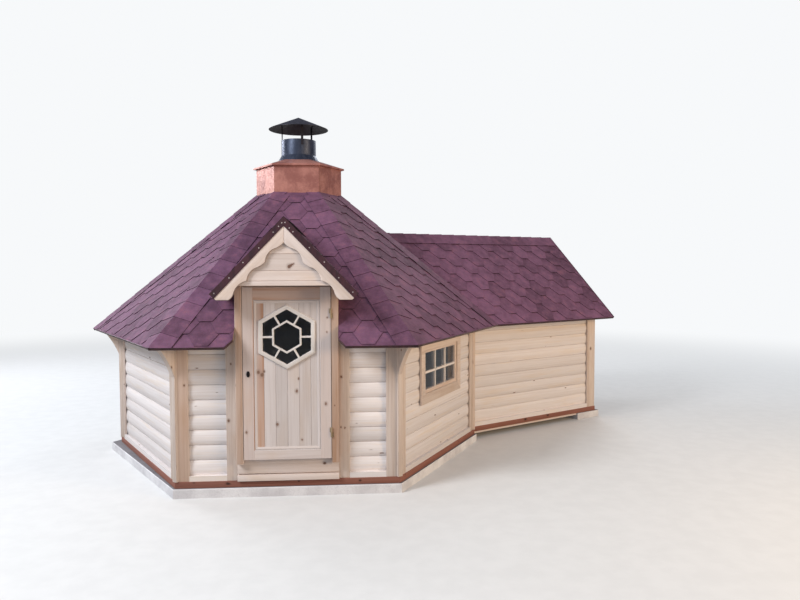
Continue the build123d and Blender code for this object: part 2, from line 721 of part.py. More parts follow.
def hexagon_slope(angle):
    """One slope of the hexagon, between its two hips and below the smoke opening."""
    with BuildPart() as slope:
        slope_strip(angle, EAVE_RUN, COLLAR_RUN, -SIDE, SIDE)
        split(bisect_by=Plane(origin=(0, 0, 0), z_dir=outward(angle + 60)), keep=Keep.TOP)
        split(bisect_by=Plane(origin=(0, 0, 0), z_dir=outward(angle + 120)), keep=Keep.BOTTOM)
    return slope


save(hexagon_slope(LEFT_FRONT), "roof_left_front")
save(hexagon_slope(LEFT_BACK), "roof_left_back")

plain_front = hexagon_slope(FRONT)
with BuildPart() as roof_front:
    add(plain_front.part)
    with BuildSketch(plan_plane(FRONT)):
        with Locations(((NOTCH_RUN + BEYOND) / 2, 0)):
            Rectangle(BEYOND - NOTCH_RUN, 2 * FRAME_HALF)
        with BuildLine():
            clip_run = EAVE_RUN - EAVE_CLIP
            near, far = Vector(clip_run, FRAME_HALF), Vector(BEYOND, FRAME_HALF + BEYOND - clip_run)
            Polyline(near, far, (far.X, -far.Y), (near.X, -near.Y), close=True)
        make_face()
    extrude(amount=BEYOND, mode=Mode.SUBTRACT)
save(roof_front, "roof_front")

for angle, neighbour, name in ((RIGHT, EXT_FRONT, "roof_right_front"), (BACK, EXT_BACK, "roof_back")):
    plain_slope = hexagon_slope(angle)
    with BuildPart() as cut_slope:
        add(plain_slope.part)
        split(bisect_by=valley_plane(angle, EAVE_RUN, neighbour, EXT_RUN), keep=Keep.TOP)
    save(cut_slope, name)

plain_behind = hexagon_slope(EXT_ANGLE)
with BuildPart() as roof_right_back:
    add(plain_behind.part)
    with BuildSketch(plan_plane(EXT_ANGLE)):
        with BuildLine():
            meet = EAVE_RUN - EXT_RUN
            Polyline((meet, 0), (BEYOND, BEYOND - meet), (BEYOND, meet - BEYOND), close=True)
        make_face()
    extrude(amount=BEYOND, mode=Mode.SUBTRACT)
save(roof_right_back, "roof_right_back")


def under_hexagon(angle, neighbour):
    """Space where both slopes of the hexagon that meet this extension slope lie above it."""
    with BuildPart() as region:
        Box(2 * BEYOND, 2 * BEYOND, 2 * BEYOND)
        for other in (EXT_ANGLE, neighbour):
            split(bisect_by=valley_plane(angle, EXT_RUN, other, EAVE_RUN), keep=Keep.BOTTOM)
    return region


for angle, sign, neighbour, name in (
    (EXT_FRONT, 1, RIGHT, "roof_extension_front"),
    (EXT_BACK, -1, BACK, "roof_extension_back"),
):
    hidden = under_hexagon(angle, neighbour)
    with BuildPart() as cut_slope:
        near, far = sorted((0, sign * (EXT_END + RAKE_OUT)))
        slope_strip(angle, EXT_RUN, 0, near, far)
        add(hidden.part, mode=Mode.SUBTRACT)
    save(cut_slope, name)

# Dormer: two slopes on the front slope, cheeks, gable, bargeboards and dark edge flashing


def dormer_outline(depth, side):
    """Front of one dormer slope, from its top surface down by a depth square to the slope."""
    foot = Vector(side * DORMER_HALF, dormer_z(DORMER_HALF, DORMER_APEX_Z))
    square = Vector(-side * sin(radians(DORMER_PITCH)), -cos(radians(DORMER_PITCH)))
    with BuildLine() as outline:
        Polyline(
            (0, DORMER_APEX_Z),
            foot,
            foot + square * depth,
            (0, DORMER_APEX_Z - depth / cos(radians(DORMER_PITCH))),
            close=True,
        )
    make_face(outline.edges())


for side, name in ((-1, "dormer_roof_left"), (1, "dormer_roof_right")):
    with BuildPart() as dormer_slope:
        with BuildSketch(facing_plane(FRONT, DORMER_RUN)):
            dormer_outline(DORMER_T, side)
        extrude(amount=-DORMER_RUN)
        split(bisect_by=slope_plane(FRONT, EAVE_RUN, ROOF_T), keep=Keep.TOP)
    save(dormer_slope, name)

with BuildPart() as dormer_cheeks:
    for shift in (FRAME_HALF, CHEEK_T - FRAME_HALF):
        with BuildSketch(section_plane(FRONT, shift)):
            with BuildLine():
                Polyline(
                    (INNER, under_z(INNER)),
                    (INNER, CHEEK_TOP_Z),
                    (NOTCH_RUN, CHEEK_TOP_Z),
                    (NOTCH_RUN, under_z(NOTCH_RUN)),
                    close=True,
                )
            make_face()
        extrude(amount=CHEEK_T)
save(dormer_cheeks, "dormer_cheeks")

# Gable: wall boards over the doorway, and the boarded front behind the bargeboards with the soffit under it
with BuildPart() as dormer_gable:
    with BuildSketch(facing_plane(FRONT, FRAME_RUN - GABLE_T)):
        with BuildLine():
            gable_z = HEAD_Z + HEAD_H
            Polyline(
                (-DOOR_HALF, gable_z),
                (DOOR_HALF, gable_z),
                (DOOR_HALF, dormer_z(DOOR_HALF)),
                (0, dormer_z(0)),
                (-DOOR_HALF, dormer_z(DOOR_HALF)),
                close=True,
            )
        make_face()
    extrude(amount=GABLE_T)
    panel_run = DORMER_RUN - BARGE_T - GABLE_T
    soffit_z = HEAD_Z + SOFFIT_LIFT
    soffit_half = (DORMER_UNDER_Z - soffit_z) / DORMER_SLOPE
    with BuildSketch(facing_plane(FRONT, panel_run)):
        with BuildLine():
            Polyline((-soffit_half, soffit_z), (soffit_half, soffit_z), (0, DORMER_UNDER_Z), close=True)
        make_face()
    extrude(amount=GABLE_T)
    with BuildSketch(facing_plane(FRONT, FRAME_RUN)):
        with BuildLine():
            upper_z = soffit_z + SOFFIT_T
            upper_half = soffit_half - SOFFIT_T / DORMER_SLOPE
            Polyline(
                (-soffit_half, soffit_z),
                (soffit_half, soffit_z),
                (upper_half, upper_z),
                (-upper_half, upper_z),
                close=True,
            )
        make_face()
    extrude(amount=panel_run - FRAME_RUN)
save(dormer_gable, "dormer_gable")


def barge_outline():
    """Right bargeboard: straight under the roof, with ogee lobes along its lower edge."""
    down = Vector(cos(radians(DORMER_PITCH)), -sin(radians(DORMER_PITCH)))
    square = Vector(sin(radians(DORMER_PITCH)), cos(radians(DORMER_PITCH)))
    first = Vector(0, DORMER_UNDER_Z - BARGE_W / cos(radians(DORMER_PITCH)))
    pitch = (first.Y - BARGE_BOTTOM_Z) / sin(radians(DORMER_PITCH)) / LOBE_COUNT
    foot = Vector(DORMER_HALF, dormer_z(DORMER_HALF, DORMER_APEX_Z)) - square * DORMER_T
    heel = foot - square * ((foot.Y - BARGE_BOTTOM_Z) / cos(radians(DORMER_PITCH)))

    def lobe_point(lobe, along, depth):
        return first + down * (pitch * (lobe + along)) + square * (pitch * depth)

    with BuildLine() as outline:
        for lobe in range(LOBE_COUNT - 1):
            ThreePointArc(lobe_point(lobe, 0, 0), lobe_point(lobe, 0.18, 0.012), lobe_point(lobe, 0.34, 0.06))
            ThreePointArc(lobe_point(lobe, 0.34, 0.06), lobe_point(lobe, 0.74, 0.13), lobe_point(lobe, 1, 0))
        tail = LOBE_COUNT - 1
        ThreePointArc(lobe_point(tail, 0, 0), lobe_point(tail, 0.35, 0.12), lobe_point(tail, 0.66, 0.05))
        ThreePointArc(lobe_point(tail, 0.66, 0.05), lobe_point(tail, 0.85, -0.015), lobe_point(tail, 1, 0))
        Polyline(lobe_point(tail, 1, 0), heel, foot, (0, DORMER_UNDER_Z), first)
    make_face(outline.edges())


with BuildPart() as dormer_bargeboards:
    with BuildSketch(facing_plane(FRONT, DORMER_RUN - BARGE_T)):
        barge_outline()
        mirror(about=Plane.YZ)
    extrude(amount=BARGE_T)
save(dormer_bargeboards, "dormer_bargeboards")

with BuildPart() as dormer_flashing:
    with BuildSketch(facing_plane(FRONT, DORMER_RUN)):
        for side in (1, -1):
            dormer_outline(FLASHING_H, side)
    extrude(amount=FLASHING_T)
save(dormer_flashing, "dormer_flashing")

# Smoke collar in the roof's opening, its lid, the pipe and its hat

with BuildPart() as smoke_collar:
    with BuildSketch(Plane.XY.offset(COLLAR_Z)):
        RegularPolygon(COLLAR_R, 6)
        RegularPolygon(COLLAR_R - COLLAR_T / COS30, 6, mode=Mode.SUBTRACT)
    extrude(amount=COLLAR_H)
save(smoke_collar, "smoke_collar")

with BuildPart() as collar_lid:
    with BuildSketch(Plane.XY.offset(COLLAR_TOP_Z)):
        RegularPolygon(LID_R, 6)
    extrude(amount=LID_EDGE)
    with BuildSketch(Plane.XY.offset(COLLAR_TOP_Z + LID_EDGE)):
        RegularPolygon(LID_R, 6)
    slant = degrees(atan2(LID_R * COS30 - LID_TOP_R, LID_RISE - LID_EDGE))
    extrude(amount=LID_RISE - LID_EDGE, taper=slant)
    with BuildSketch(Plane.XY.offset(COLLAR_TOP_Z)):
        RegularPolygon(COLLAR_R - COLLAR_T / COS30, 6)
    inner_slant = degrees(atan2((COLLAR_R - LID_T) * COS30 - COLLAR_T - LID_TOP_R + LID_T, LID_RISE - LID_T))
    extrude(amount=LID_RISE - LID_T, taper=inner_slant, mode=Mode.SUBTRACT)
    with BuildSketch(Plane.XY.offset(COLLAR_TOP_Z)):
        Circle(PIPE_R)
    extrude(amount=LID_RISE, mode=Mode.SUBTRACT)
save(collar_lid, "collar_lid")

with BuildPart() as chimney_pipe:
    with BuildSketch(Plane.XZ):
        with BuildLine():
            Polyline(
                (PIPE_R - PIPE_T, LID_TOP_Z - PIPE_DROP),
                (PIPE_R, LID_TOP_Z - PIPE_DROP),
                (PIPE_R, LID_TOP_Z),
                (PIPE_R + FLARE_OUT, LID_TOP_Z),
                (PIPE_R + FLARE_OUT, LID_TOP_Z + PIPE_T),
                (PIPE_R, LID_TOP_Z + FLARE_H),
                (PIPE_R, PIPE_TOP_Z),
                (PIPE_R - PIPE_T, PIPE_TOP_Z),
                close=True,
            )
        make_face()
    revolve(axis=Axis.Z)
save(chimney_pipe, "chimney_pipe")

with BuildPart() as chimney_hat:
    with BuildSketch(Plane.XZ):
        with BuildLine():
            hat_top = HAT_Z + HAT_RISE
            Polyline((0, hat_top), (HAT_R, HAT_Z), (HAT_R, HAT_Z - HAT_T), (0, hat_top - HAT_T), close=True)
        make_face()
    revolve(axis=Axis.Z)
    leg_r = PIPE_R + HAT_LEG_T / 2
    leg_z = PIPE_TOP_Z - HAT_LEG_LAP
    with BuildSketch(Plane.XY.offset(leg_z)):
        with PolarLocations(leg_r, HAT_LEGS, start_angle=45):
            Rectangle(HAT_LEG_T, HAT_LEG_W)
        Circle(PIPE_R, mode=Mode.SUBTRACT)
    extrude(amount=HAT_Z + HAT_RISE * (1 - leg_r / HAT_R) - HAT_T / 2 - leg_z)
save(chimney_hat, "chimney_hat")
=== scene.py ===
from math import atan2, ceil, cos, degrees, dist, floor, hypot, pi, radians, sin, sqrt, tan
from random import Random

import bmesh
import bpy
from mathutils import Matrix, Vector


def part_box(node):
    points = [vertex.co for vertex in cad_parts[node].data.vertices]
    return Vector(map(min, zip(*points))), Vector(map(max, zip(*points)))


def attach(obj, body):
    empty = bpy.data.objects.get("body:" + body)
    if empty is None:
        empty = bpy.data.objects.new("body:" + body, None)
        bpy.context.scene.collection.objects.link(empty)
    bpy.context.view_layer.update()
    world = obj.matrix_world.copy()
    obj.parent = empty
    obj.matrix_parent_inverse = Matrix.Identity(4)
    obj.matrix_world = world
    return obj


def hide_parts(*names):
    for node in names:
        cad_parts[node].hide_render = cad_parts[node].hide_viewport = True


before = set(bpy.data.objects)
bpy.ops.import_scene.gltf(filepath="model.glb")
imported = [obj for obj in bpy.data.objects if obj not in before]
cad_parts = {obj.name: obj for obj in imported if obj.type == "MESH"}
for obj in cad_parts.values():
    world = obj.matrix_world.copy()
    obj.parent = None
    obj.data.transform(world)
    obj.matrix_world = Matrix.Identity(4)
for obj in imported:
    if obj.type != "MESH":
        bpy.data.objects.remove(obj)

scene = bpy.context.scene
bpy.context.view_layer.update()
X_AXIS, Y_AXIS, UP = Vector((1, 0, 0)), Vector((0, 1, 0)), Vector((0, 0, 1))

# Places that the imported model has, in metres. A run is a distance from the hexagon's middle in plan.
INRADIUS = 1.88 * sqrt(3) / 2
SILL_TOP = 0.135
SILL_OUT, SILL_W = 0.006, 0.095
BASE_H = 0.080
EAVE_Z = 1.265
EAVE_REACH = 0.215
EAVE_RUN = INRADIUS + EAVE_REACH
ROOF_PITCH = radians(43.3)
COS_P, SIN_P = cos(ROOF_PITCH), sin(ROOF_PITCH)
ROOF_T = 0.030
COLLAR_RUN = 0.444 * sqrt(3) / 2
EXT_ANGLE = 30
EXT_HALF = 0.850
EXT_END = INRADIUS + 2.090
EXT_RUN = EXT_HALF + EAVE_REACH
EXT_RAKE = EXT_END + 0.080
FRONT, RIGHT, LEFT_FRONT, LEFT_BACK, BACK = 270, 330, 210, 150, 90
LOG_START = 0.180
LOG_PITCH = 0.127
FRAME_HALF = 0.424
FRAME_RUN = INRADIUS + 0.072
DOOR_HALF = 0.366
HEAD_Z = 1.767
LIGHT_Z = 1.348
WINDOW_U, WINDOW_Z = 0.020, 0.953
WINDOW_W, WINDOW_H = 0.754, 0.344
DORMER_PITCH = radians(46)
DORMER_T = 0.028
DORMER_HALF = 0.592
DORMER_RUN = INRADIUS + 0.252


def outward(angle):
    """Unit vector that points out of the building at this angle in plan."""
    return Vector((cos(radians(angle)), sin(radians(angle)), 0))


# Materials


class Graph:
    """The nodes of a material or of the world, built by short calls."""

    def __init__(self, owner):
        owner.use_nodes = True
        self.owner, self.tree = owner, owner.node_tree
        self.tree.nodes.clear()

    def node(self, kind, inputs=(), **props):
        made = self.tree.nodes.new("ShaderNode" + kind)
        for name, value in props.items():
            setattr(made, name, value)
        for key, value in dict(inputs).items():
            self.put(made.inputs[key], value)
        return made

    def put(self, socket, value):
        if isinstance(value, bpy.types.NodeSocket):
            self.tree.links.new(value, socket)
        else:
            socket.default_value = value

    def place(self):
        """Places in the piece's own frame."""
        return self.node("TexCoord").outputs["Object"]

    def attribute(self, name, output="Fac"):
        return self.node("Attribute", attribute_name=name).outputs[output]

    def math(self, operation, a, b=0.0, c=0.0, clamp=False):
        return self.node("Math", {0: a, 1: b, 2: c}, operation=operation, use_clamp=clamp).outputs[0]

    def plus(self, a, b, clamp=False):
        return self.math("ADD", a, b, clamp=clamp)

    def times(self, a, b):
        return self.math("MULTIPLY", a, b)

    def scaled(self, value, factor, offset):
        return self.math("MULTIPLY_ADD", value, factor, offset)

    def vector(self, operation, a, b=(0, 0, 0)):
        made = self.node("VectorMath", {0: a, 1: b}, operation=operation)
        return made.outputs["Value" if operation == "LENGTH" else "Vector"]

    def noise(self, place, scale, detail=3.0, rough=0.55, distortion=0.0):
        """Noise with one scale, or with a scale for each axis."""
        if isinstance(scale, tuple):
            place, scale = self.vector("MULTIPLY", place, scale), 1.0
        inputs = {"Vector": place, "Scale": scale, "Detail": detail, "Roughness": rough, "Distortion": distortion}
        return self.node("TexNoise", inputs).outputs[0]

    def steps(self, value, low, high, to_low=0.0, to_high=1.0):
        """Smooth step from one value to another between low and high."""
        inputs = {"Value": value, "From Min": low, "From Max": high, "To Min": to_low, "To Max": to_high}
        return self.node("MapRange", inputs, interpolation_type="SMOOTHSTEP").outputs[0]

    def falls(self, value, low, high, start=1.0):
        return self.steps(value, low, high, start, 0.0)

    def mix(self, share, a, b, blend="MIX"):
        made = self.node("Mix", data_type="RGBA", blend_type=blend)
        for key, value in ((0, share), (6, a), (7, b)):
            self.put(made.inputs[key], (*value, 1) if isinstance(value, tuple) else value)
        return made.outputs[2]

    def dimmed(self, colour, factor):
        """Colour times a factor."""
        grey = self.node("CombineColor", {0: factor, 1: factor, 2: factor}).outputs[0]
        return self.mix(1.0, colour, grey, "MULTIPLY")

    def finish(self, height, bump, distance, **shader):
        """Material with this bump and these inputs of its shader."""
        names = {k.replace("_", " ").title().replace("Ior", "IOR"): v for k, v in shader.items()}
        bsdf = self.node("BsdfPrincipled", names)
        relief = self.node("Bump", {"Strength": bump, "Distance": distance, "Height": height})
        self.put(bsdf.inputs["Normal"], relief.outputs[0])
        self.node("OutputMaterial", {"Surface": bsdf.outputs[0]})
        return self.owner


def srgb(r, g, b):
    """Linear colour from 0-255 values."""
    return tuple(((v / 255 + 0.055) / 1.055) ** 2.4 if v > 10 else v / 255 / 12.92 for v in (r, g, b))


KNOT_CELLS = (2.3, 8.5, 1.0)  # cells that may hold a knot, to a metre along and across the grain
KNOT_SHAPE = (1 / 3.0, 1 / 8.5, 0.0)
MARK_SHAPE = (1.0, 0.3, 0.75)
DARK_EDGE_AND_SHADE = srgb(104, 80, 66)


def wood(name, pale, dark, knot=srgb(96, 56, 36), knots=0.5, grain=1.0, streak=None, heart=None, marks=()):
    """Planed timber. The mesh carries places along and across the grain in metres, and a tone for each board.
    A tone above 1 gives a board the colour of much heartwood, which on the door's top rail is painted shade; one below
    0 gives the dark of a sawn edge, which on the bargeboards also stands for painted shade.
    Knots is the share of cells that hold one. Marks are single knots at their places, as (place, radius)."""
    g = Graph(bpy.data.materials.new(name))
    place, tone = g.attribute("grain", "Vector"), g.attribute("tone")
    cells = g.vector("MULTIPLY", place, KNOT_CELLS)
    voronoi = g.node("TexVoronoi", {"Vector": cells, "Scale": 1.0, "Randomness": 0.9}).outputs
    away = g.vector("MULTIPLY", g.vector("SUBTRACT", cells, voronoi["Position"]), KNOT_SHAPE)
    wobble = g.noise(place, 90.0, 2.0)
    distance = g.plus(g.vector("LENGTH", away), g.scaled(wobble, 0.005, -0.0025))
    random = g.node("SeparateColor", {0: voronoi["Color"]}).outputs
    there = g.math("LESS_THAN", random[1], knots)
    size = g.times(g.scaled(random[0], 0.011, 0.003), there)
    core = g.math("DIVIDE", distance, g.plus(size, 0.0001))
    limits = (0.75, 1.1), (0.9, 2.2), (0.8, 4.5)
    spot, ring, halo = (g.times(g.falls(core, low, high), there) for low, high in limits)
    for centre, radius in marks:
        gap = g.vector("MULTIPLY", g.vector("SUBTRACT", g.place(), centre), MARK_SHAPE)
        near = g.math("DIVIDE", g.plus(g.vector("LENGTH", gap), g.scaled(wobble, 0.012, -0.006)), radius)
        spot = g.math("MAXIMUM", spot, g.falls(near, 0.6, 1.15))
        ring = g.math("MAXIMUM", ring, g.falls(near, 0.9, 2.4))

    # The grain bends round the knots
    pull = {0: g.vector("MULTIPLY", away, (0.0, 1.0, 0.0)), "Scale": g.times(halo, -0.75)}
    bent = g.vector("ADD", place, g.node("VectorMath", pull, operation="SCALE").outputs[0])
    wide = g.noise(bent, (0.55, 13.0, 1.0), 3.0, 0.5, 0.8)
    fine = g.noise(bent, (1.6, 95.0, 1.0), 4.0, 0.65, 0.25)
    hair = g.noise(bent, (7.0, 420.0, 1.0), 2.0, 0.6)
    blotch = g.noise(place, (1.4, 3.0, 1.0), 3.0, 0.6)
    lines = g.steps(fine, 0.44, 0.66)
    depth = g.scaled(g.steps(wide, 0.42, 0.64), 0.30 * grain, g.times(lines, 0.30 * grain))
    depth = g.plus(depth, g.scaled(hair, 0.22 * grain, -0.11 * grain), clamp=True)
    colour = g.mix(depth, pale, dark)
    if streak is not None:
        colour = g.mix(g.times(g.steps(blotch, 0.5, 0.72), 0.45), colour, streak)
        red = g.times(g.steps(tone, 1.05, 1.4), g.steps(wide, 0.25, 0.7, 0.95, 0.35))
        colour = g.mix(red, colour, heart or streak)
    held = g.math("MAXIMUM", g.math("MINIMUM", tone, 1.0), 0.0)
    colour = g.dimmed(colour, g.times(g.scaled(held, 0.20, 0.89), g.scaled(blotch, 0.12, 0.94)))
    colour = g.mix(g.times(ring, 0.45), colour, tuple((k + d) / 2 for k, d in zip(knot, dark)))
    colour = g.mix(g.times(spot, 0.85), colour, knot)
    # Tones below 0 darken towards sawn end grain; on the bargeboards' edges and left chamfers this is also painted
    # shade
    colour = g.mix(g.falls(tone, -0.6, -0.1, 0.8), colour, DARK_EDGE_AND_SHADE)
    height = g.math("SUBTRACT", g.times(lines, -0.6), g.times(spot, 0.5))
    return g.finish(
        height, 0.35, 0.0012, base_color=colour, roughness=g.steps(fine, 0.2, 0.8, 0.52, 0.72),
        specular_ior_level=0.35,
    )


def shingle(name, pale, dark, warm, cut):
    """Granulated bitumen shingle with a tone for each tab. A tone below 0 marks a cut edge of bare bitumen."""
    g = Graph(bpy.data.materials.new(name))
    place, tone = g.place(), g.attribute("tone")
    blotch = g.noise(place, 1.9, 3.0, 0.55)
    patch = g.noise(place, 11.0, 4.0, 0.62)
    grit = g.noise(place, 170.0, 2.0, 0.7)
    granule = g.node("TexVoronoi", {"Vector": place, "Scale": 330.0}).outputs["Color"]
    share = g.plus(g.times(blotch, 0.35), g.times(patch, 0.65))
    share = g.plus(share, g.scaled(tone, 0.17, -0.085))
    colour = g.mix(g.steps(share, 0.22, 0.80), dark, pale)
    colour = g.mix(g.times(g.steps(patch, 0.52, 0.8), 0.35), colour, warm)
    colour = g.dimmed(colour, g.scaled(grit, 0.6, 0.70))
    colour = g.mix(0.12, colour, granule, "OVERLAY")
    colour = g.mix(g.falls(tone, -0.6, -0.1), colour, cut)
    height = g.scaled(grit, 0.7, g.times(patch, 1.2))
    return g.finish(
        height, 0.5, 0.003, base_color=colour, roughness=g.steps(grit, 0.2, 0.8, 0.62, 0.86), specular_ior_level=0.22,
    )


def sheet_metal(name, base, other, metallic, rough, streaks=(3.0, 3.0, 0.8)):
    """Painted or bare sheet metal with streaks, small dents and a worn film."""
    g = Graph(bpy.data.materials.new(name))
    place = g.place()
    streak = g.noise(g.vector("MULTIPLY", place, streaks), 6.0, 4.0, 0.6, 0.4)
    film = g.noise(place, 38.0, 3.0, 0.6)
    dust = g.noise(place, 160.0, 2.0, 0.6)
    share = g.scaled(streak, 0.75, g.times(film, 0.25))
    return g.finish(
        g.plus(streak, g.times(dust, 0.1)), 0.22, 0.004, base_color=g.mix(g.steps(share, 0.38, 0.64), base, other),
        metallic=metallic, roughness=g.steps(film, 0.3, 0.7, rough - 0.07, rough + 0.1),
    )


def concrete(name):
    """Cast concrete with pale sides and a darker upper side."""
    g = Graph(bpy.data.materials.new(name))
    place = g.place()
    broad = g.noise(place, 3.5, 4.0, 0.6)
    sand = g.noise(place, 140.0, 3.0, 0.7)
    pores = g.node("TexVoronoi", {"Vector": place, "Scale": 60.0}).outputs["Distance"]
    colour = g.mix(g.steps(broad, 0.35, 0.65), srgb(236, 235, 238), srgb(210, 208, 212))
    colour = g.mix(g.times(g.steps(sand, 0.5, 0.7), 0.35), colour, srgb(160, 158, 163))
    z = g.node("SeparateXYZ", {0: place}).outputs["Z"]
    # The upper face is made darker than the sides, unevenly with broad noise.
    darker_top = g.times(g.steps(z, BASE_H - 0.0016, BASE_H - 0.0004), g.steps(broad, 0.2, 0.7, 1.0, 0.8))
    colour = g.mix(darker_top, colour, srgb(98, 96, 102))
    height = g.math("SUBTRACT", g.times(sand, 0.5), g.falls(pores, 0.05, 0.16))
    return g.finish(height, 0.35, 0.002, base_color=colour, roughness=g.steps(sand, 0.2, 0.8, 0.78, 0.92))


def glass(name, tint):
    """Slightly uneven clear glass."""
    g = Graph(bpy.data.materials.new(name))
    place = g.place()
    film = g.noise(place, 26.0, 3.0, 0.6)
    return g.finish(
        g.noise(place, 5.0, 2.0, 0.5), 0.05, 0.004, base_color=(*tint, 1), transmission_weight=1.0, ior=1.45,
        roughness=g.steps(film, 0.35, 0.7, 0.015, 0.05),
    )


LOG_WOOD = wood("log_wood", srgb(232, 226, 226), srgb(204, 190, 184), knots=0.12, grain=0.7, streak=srgb(222, 204, 184))
BOARD_WOOD = wood(
    "board_wood", srgb(222, 207, 197), srgb(184, 158, 142), knot=srgb(108, 72, 52), knots=0.14,
    streak=srgb(190, 162, 138), heart=srgb(164, 122, 92), marks=(
        ((-0.494, -1.628, 0.643), 0.010), ((-0.428, -1.700, 0.952), 0.007), ((0.446, -1.628, 0.999), 0.008),
        ((0.440, -1.628, 0.571), 0.006), ((0.473, -1.628, 0.565), 0.006), ((-0.470, -1.628, 1.120), 0.006),
    ),
)
DOOR_WOOD = wood(
    "door_wood", srgb(212, 203, 201), srgb(179, 164, 157), knot=srgb(124, 92, 74), knots=0.0, grain=0.8,
    streak=srgb(200, 180, 164), heart=srgb(172, 122, 88), marks=(
        ((-0.236, -1.692, 1.058), 0.012), ((-0.207, -1.692, 1.035), 0.014), ((-0.188, -1.692, 1.064), 0.008),
        ((0.077, -1.692, 0.895), 0.011), ((0.093, -1.692, 0.999), 0.007), ((-0.085, -1.692, 0.619), 0.011),
        ((0.118, -1.692, 0.487), 0.007), ((0.317, -1.700, 0.787), 0.010), ((0.330, -1.700, 1.386), 0.006),
        ((-0.338, -1.700, 0.559), 0.009), ((0.333, -1.700, 1.506), 0.006),
    ),
)
GABLE_WOOD = wood(  # its one mark is a long knot, made of five in a row
    "gable_wood", srgb(232, 218, 212), srgb(204, 184, 172), knots=0.08, grain=0.8, streak=srgb(214, 186, 158),
    marks=[((0.036 + 0.010 * k, -1.858, 1.928 + 0.006 * k), 0.0125 - 0.0018 * k) for k in range(5)],
)
SILL_WOOD = wood("sill_wood", srgb(148, 98, 84), srgb(104, 64, 54), knot=srgb(60, 36, 30), knots=0.3)
DECK_WOOD = wood("deck_wood", srgb(200, 180, 154), srgb(158, 134, 108))
FLOOR_WOOD = wood("floor_wood", srgb(214, 188, 150), srgb(176, 142, 102))
BAR_WOOD = wood("bar_wood", srgb(232, 226, 222), srgb(206, 194, 188), knots=0.0, grain=0.6)
SHINGLE = shingle("red_shingle", srgb(130, 90, 118), srgb(85, 56, 75), srgb(142, 87, 88), srgb(34, 26, 32))
EDGE_METAL = sheet_metal("edge_metal", srgb(78, 46, 54), srgb(58, 36, 44), 0.0, 0.42)
COLLAR_METAL = sheet_metal("collar_paint", srgb(202, 141, 128), srgb(162, 105, 96), 0.35, 0.42, (1.1, 1.1, 0.9))
PIPE_METAL = sheet_metal("pipe_steel", srgb(84, 92, 110), srgb(60, 68, 86), 0.7, 0.4)
HAT_METAL = sheet_metal("hat_paint", srgb(52, 50, 58), srgb(38, 36, 44), 0.4, 0.4)
HINGE_METAL = sheet_metal("hinge_zinc", srgb(184, 164, 136), srgb(152, 134, 108), 0.4, 0.5)
LOCK_METAL = sheet_metal("lock_plate", srgb(44, 40, 42), srgb(30, 28, 30), 0.6, 0.35)
NAIL_METAL = sheet_metal("nail_zinc", srgb(204, 194, 194), srgb(178, 168, 170), 0.15, 0.45)
CONCRETE = concrete("cast_concrete")
GLASS = glass("clear_glass", (0.70, 0.78, 0.90))


# Mesh helpers


def add_object(name, data):
    """New object in the scene."""
    made = bpy.data.objects.new(name, data)
    scene.collection.objects.link(made)
    return made


def coat(mesh, material):
    """Gives a mesh one material."""
    mesh.materials.clear()
    mesh.materials.append(material)


def add_piece(bm, name, material, body, replaces):
    """Object of a finished bmesh, riding on its body."""
    mesh = bpy.data.meshes.new(name)
    bm.to_mesh(mesh)
    bm.free()
    made = add_object(name, mesh)
    coat(mesh, material)
    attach(made, body)
    if replaces:
        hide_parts(*replaces)


def smooth_by_angle(bm, limit):
    """Smooth shading across edges that turn by less than the limit in degrees."""
    for face in bm.faces:
        face.smooth = True
    for edge in bm.edges:
        edge.smooth = len(edge.link_faces) == 2 and edge.calc_face_angle(pi) < radians(limit)


def tone_layer(bm):
    return bm.faces.layers.float.get("tone") or bm.faces.layers.float.new("tone")


def grain_layers(bm, along_of, board_of, seed, tones=None):
    """Writes each face's places along and across the grain, and its board's tone, random unless it is given."""
    place = bm.loops.layers.float_vector.new("grain")
    tone = tone_layer(bm)
    boards = {}
    for face in bm.faces:
        centre, normal = face.calc_center_median(), face.normal
        along = along_of(centre, normal)
        along = along - normal * along.dot(normal)
        if along.length < 0.2:
            along = normal.orthogonal()
        along.normalize()
        across = normal.cross(along)
        key = board_of(face, centre)
        if key not in boards:
            random = Random(f"{seed} {key}")
            value = (tones or {}).get(key, random.random())
            boards[key] = (random.uniform(0, 9), random.uniform(0, 9), random.uniform(0, 60), value)
        shift_x, shift_y, layer, value = boards[key]
        face[tone] = value
        for loop in face.loops:
            co = loop.vert.co
            loop[place] = (co.dot(along) + shift_x, co.dot(across) + shift_y, layer)


def loose_parts(bm):
    """Function that gives the number of a face's loose part."""
    bm.faces.index_update()
    number = {}
    count = 0
    for start in bm.faces:
        if start.index in number:
            continue
        stack = [start]
        number[start.index] = count
        while stack:
            for edge in stack.pop().edges:
                for other in edge.link_faces:
                    if other.index not in number:
                        number[other.index] = count
                        stack.append(other)
        count += 1
    return lambda face, centre: number[face.index]


def fixed(axis):
    """Grain that runs along an axis."""
    return lambda centre, normal: axis


def level(axis):
    """Grain that runs level along a wall, or along an axis on faces that lie flat."""

    def along(centre, normal):
        side = UP.cross(normal)
        return side if side.length > 0.5 else axis

    return along


upright = fixed(UP)


def node_mesh(node):
    """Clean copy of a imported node's mesh, with its flat faces whole."""
    bm = bmesh.new()
    bm.from_mesh(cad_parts[node].data)
    bmesh.ops.remove_doubles(bm, verts=bm.verts, dist=1e-5)
    bmesh.ops.dissolve_limit(bm, angle_limit=radians(0.3), verts=bm.verts, edges=bm.edges)
    bm.verts.index_update()
    vertices = [v.co.copy() for v in bm.verts]
    faces = [[v.index for v in f.verts] for f in bm.faces]
    bm.free()
    mesh = bpy.data.meshes.new(node)
    mesh.from_pydata(vertices, [], faces)
    mesh.update()
    return mesh


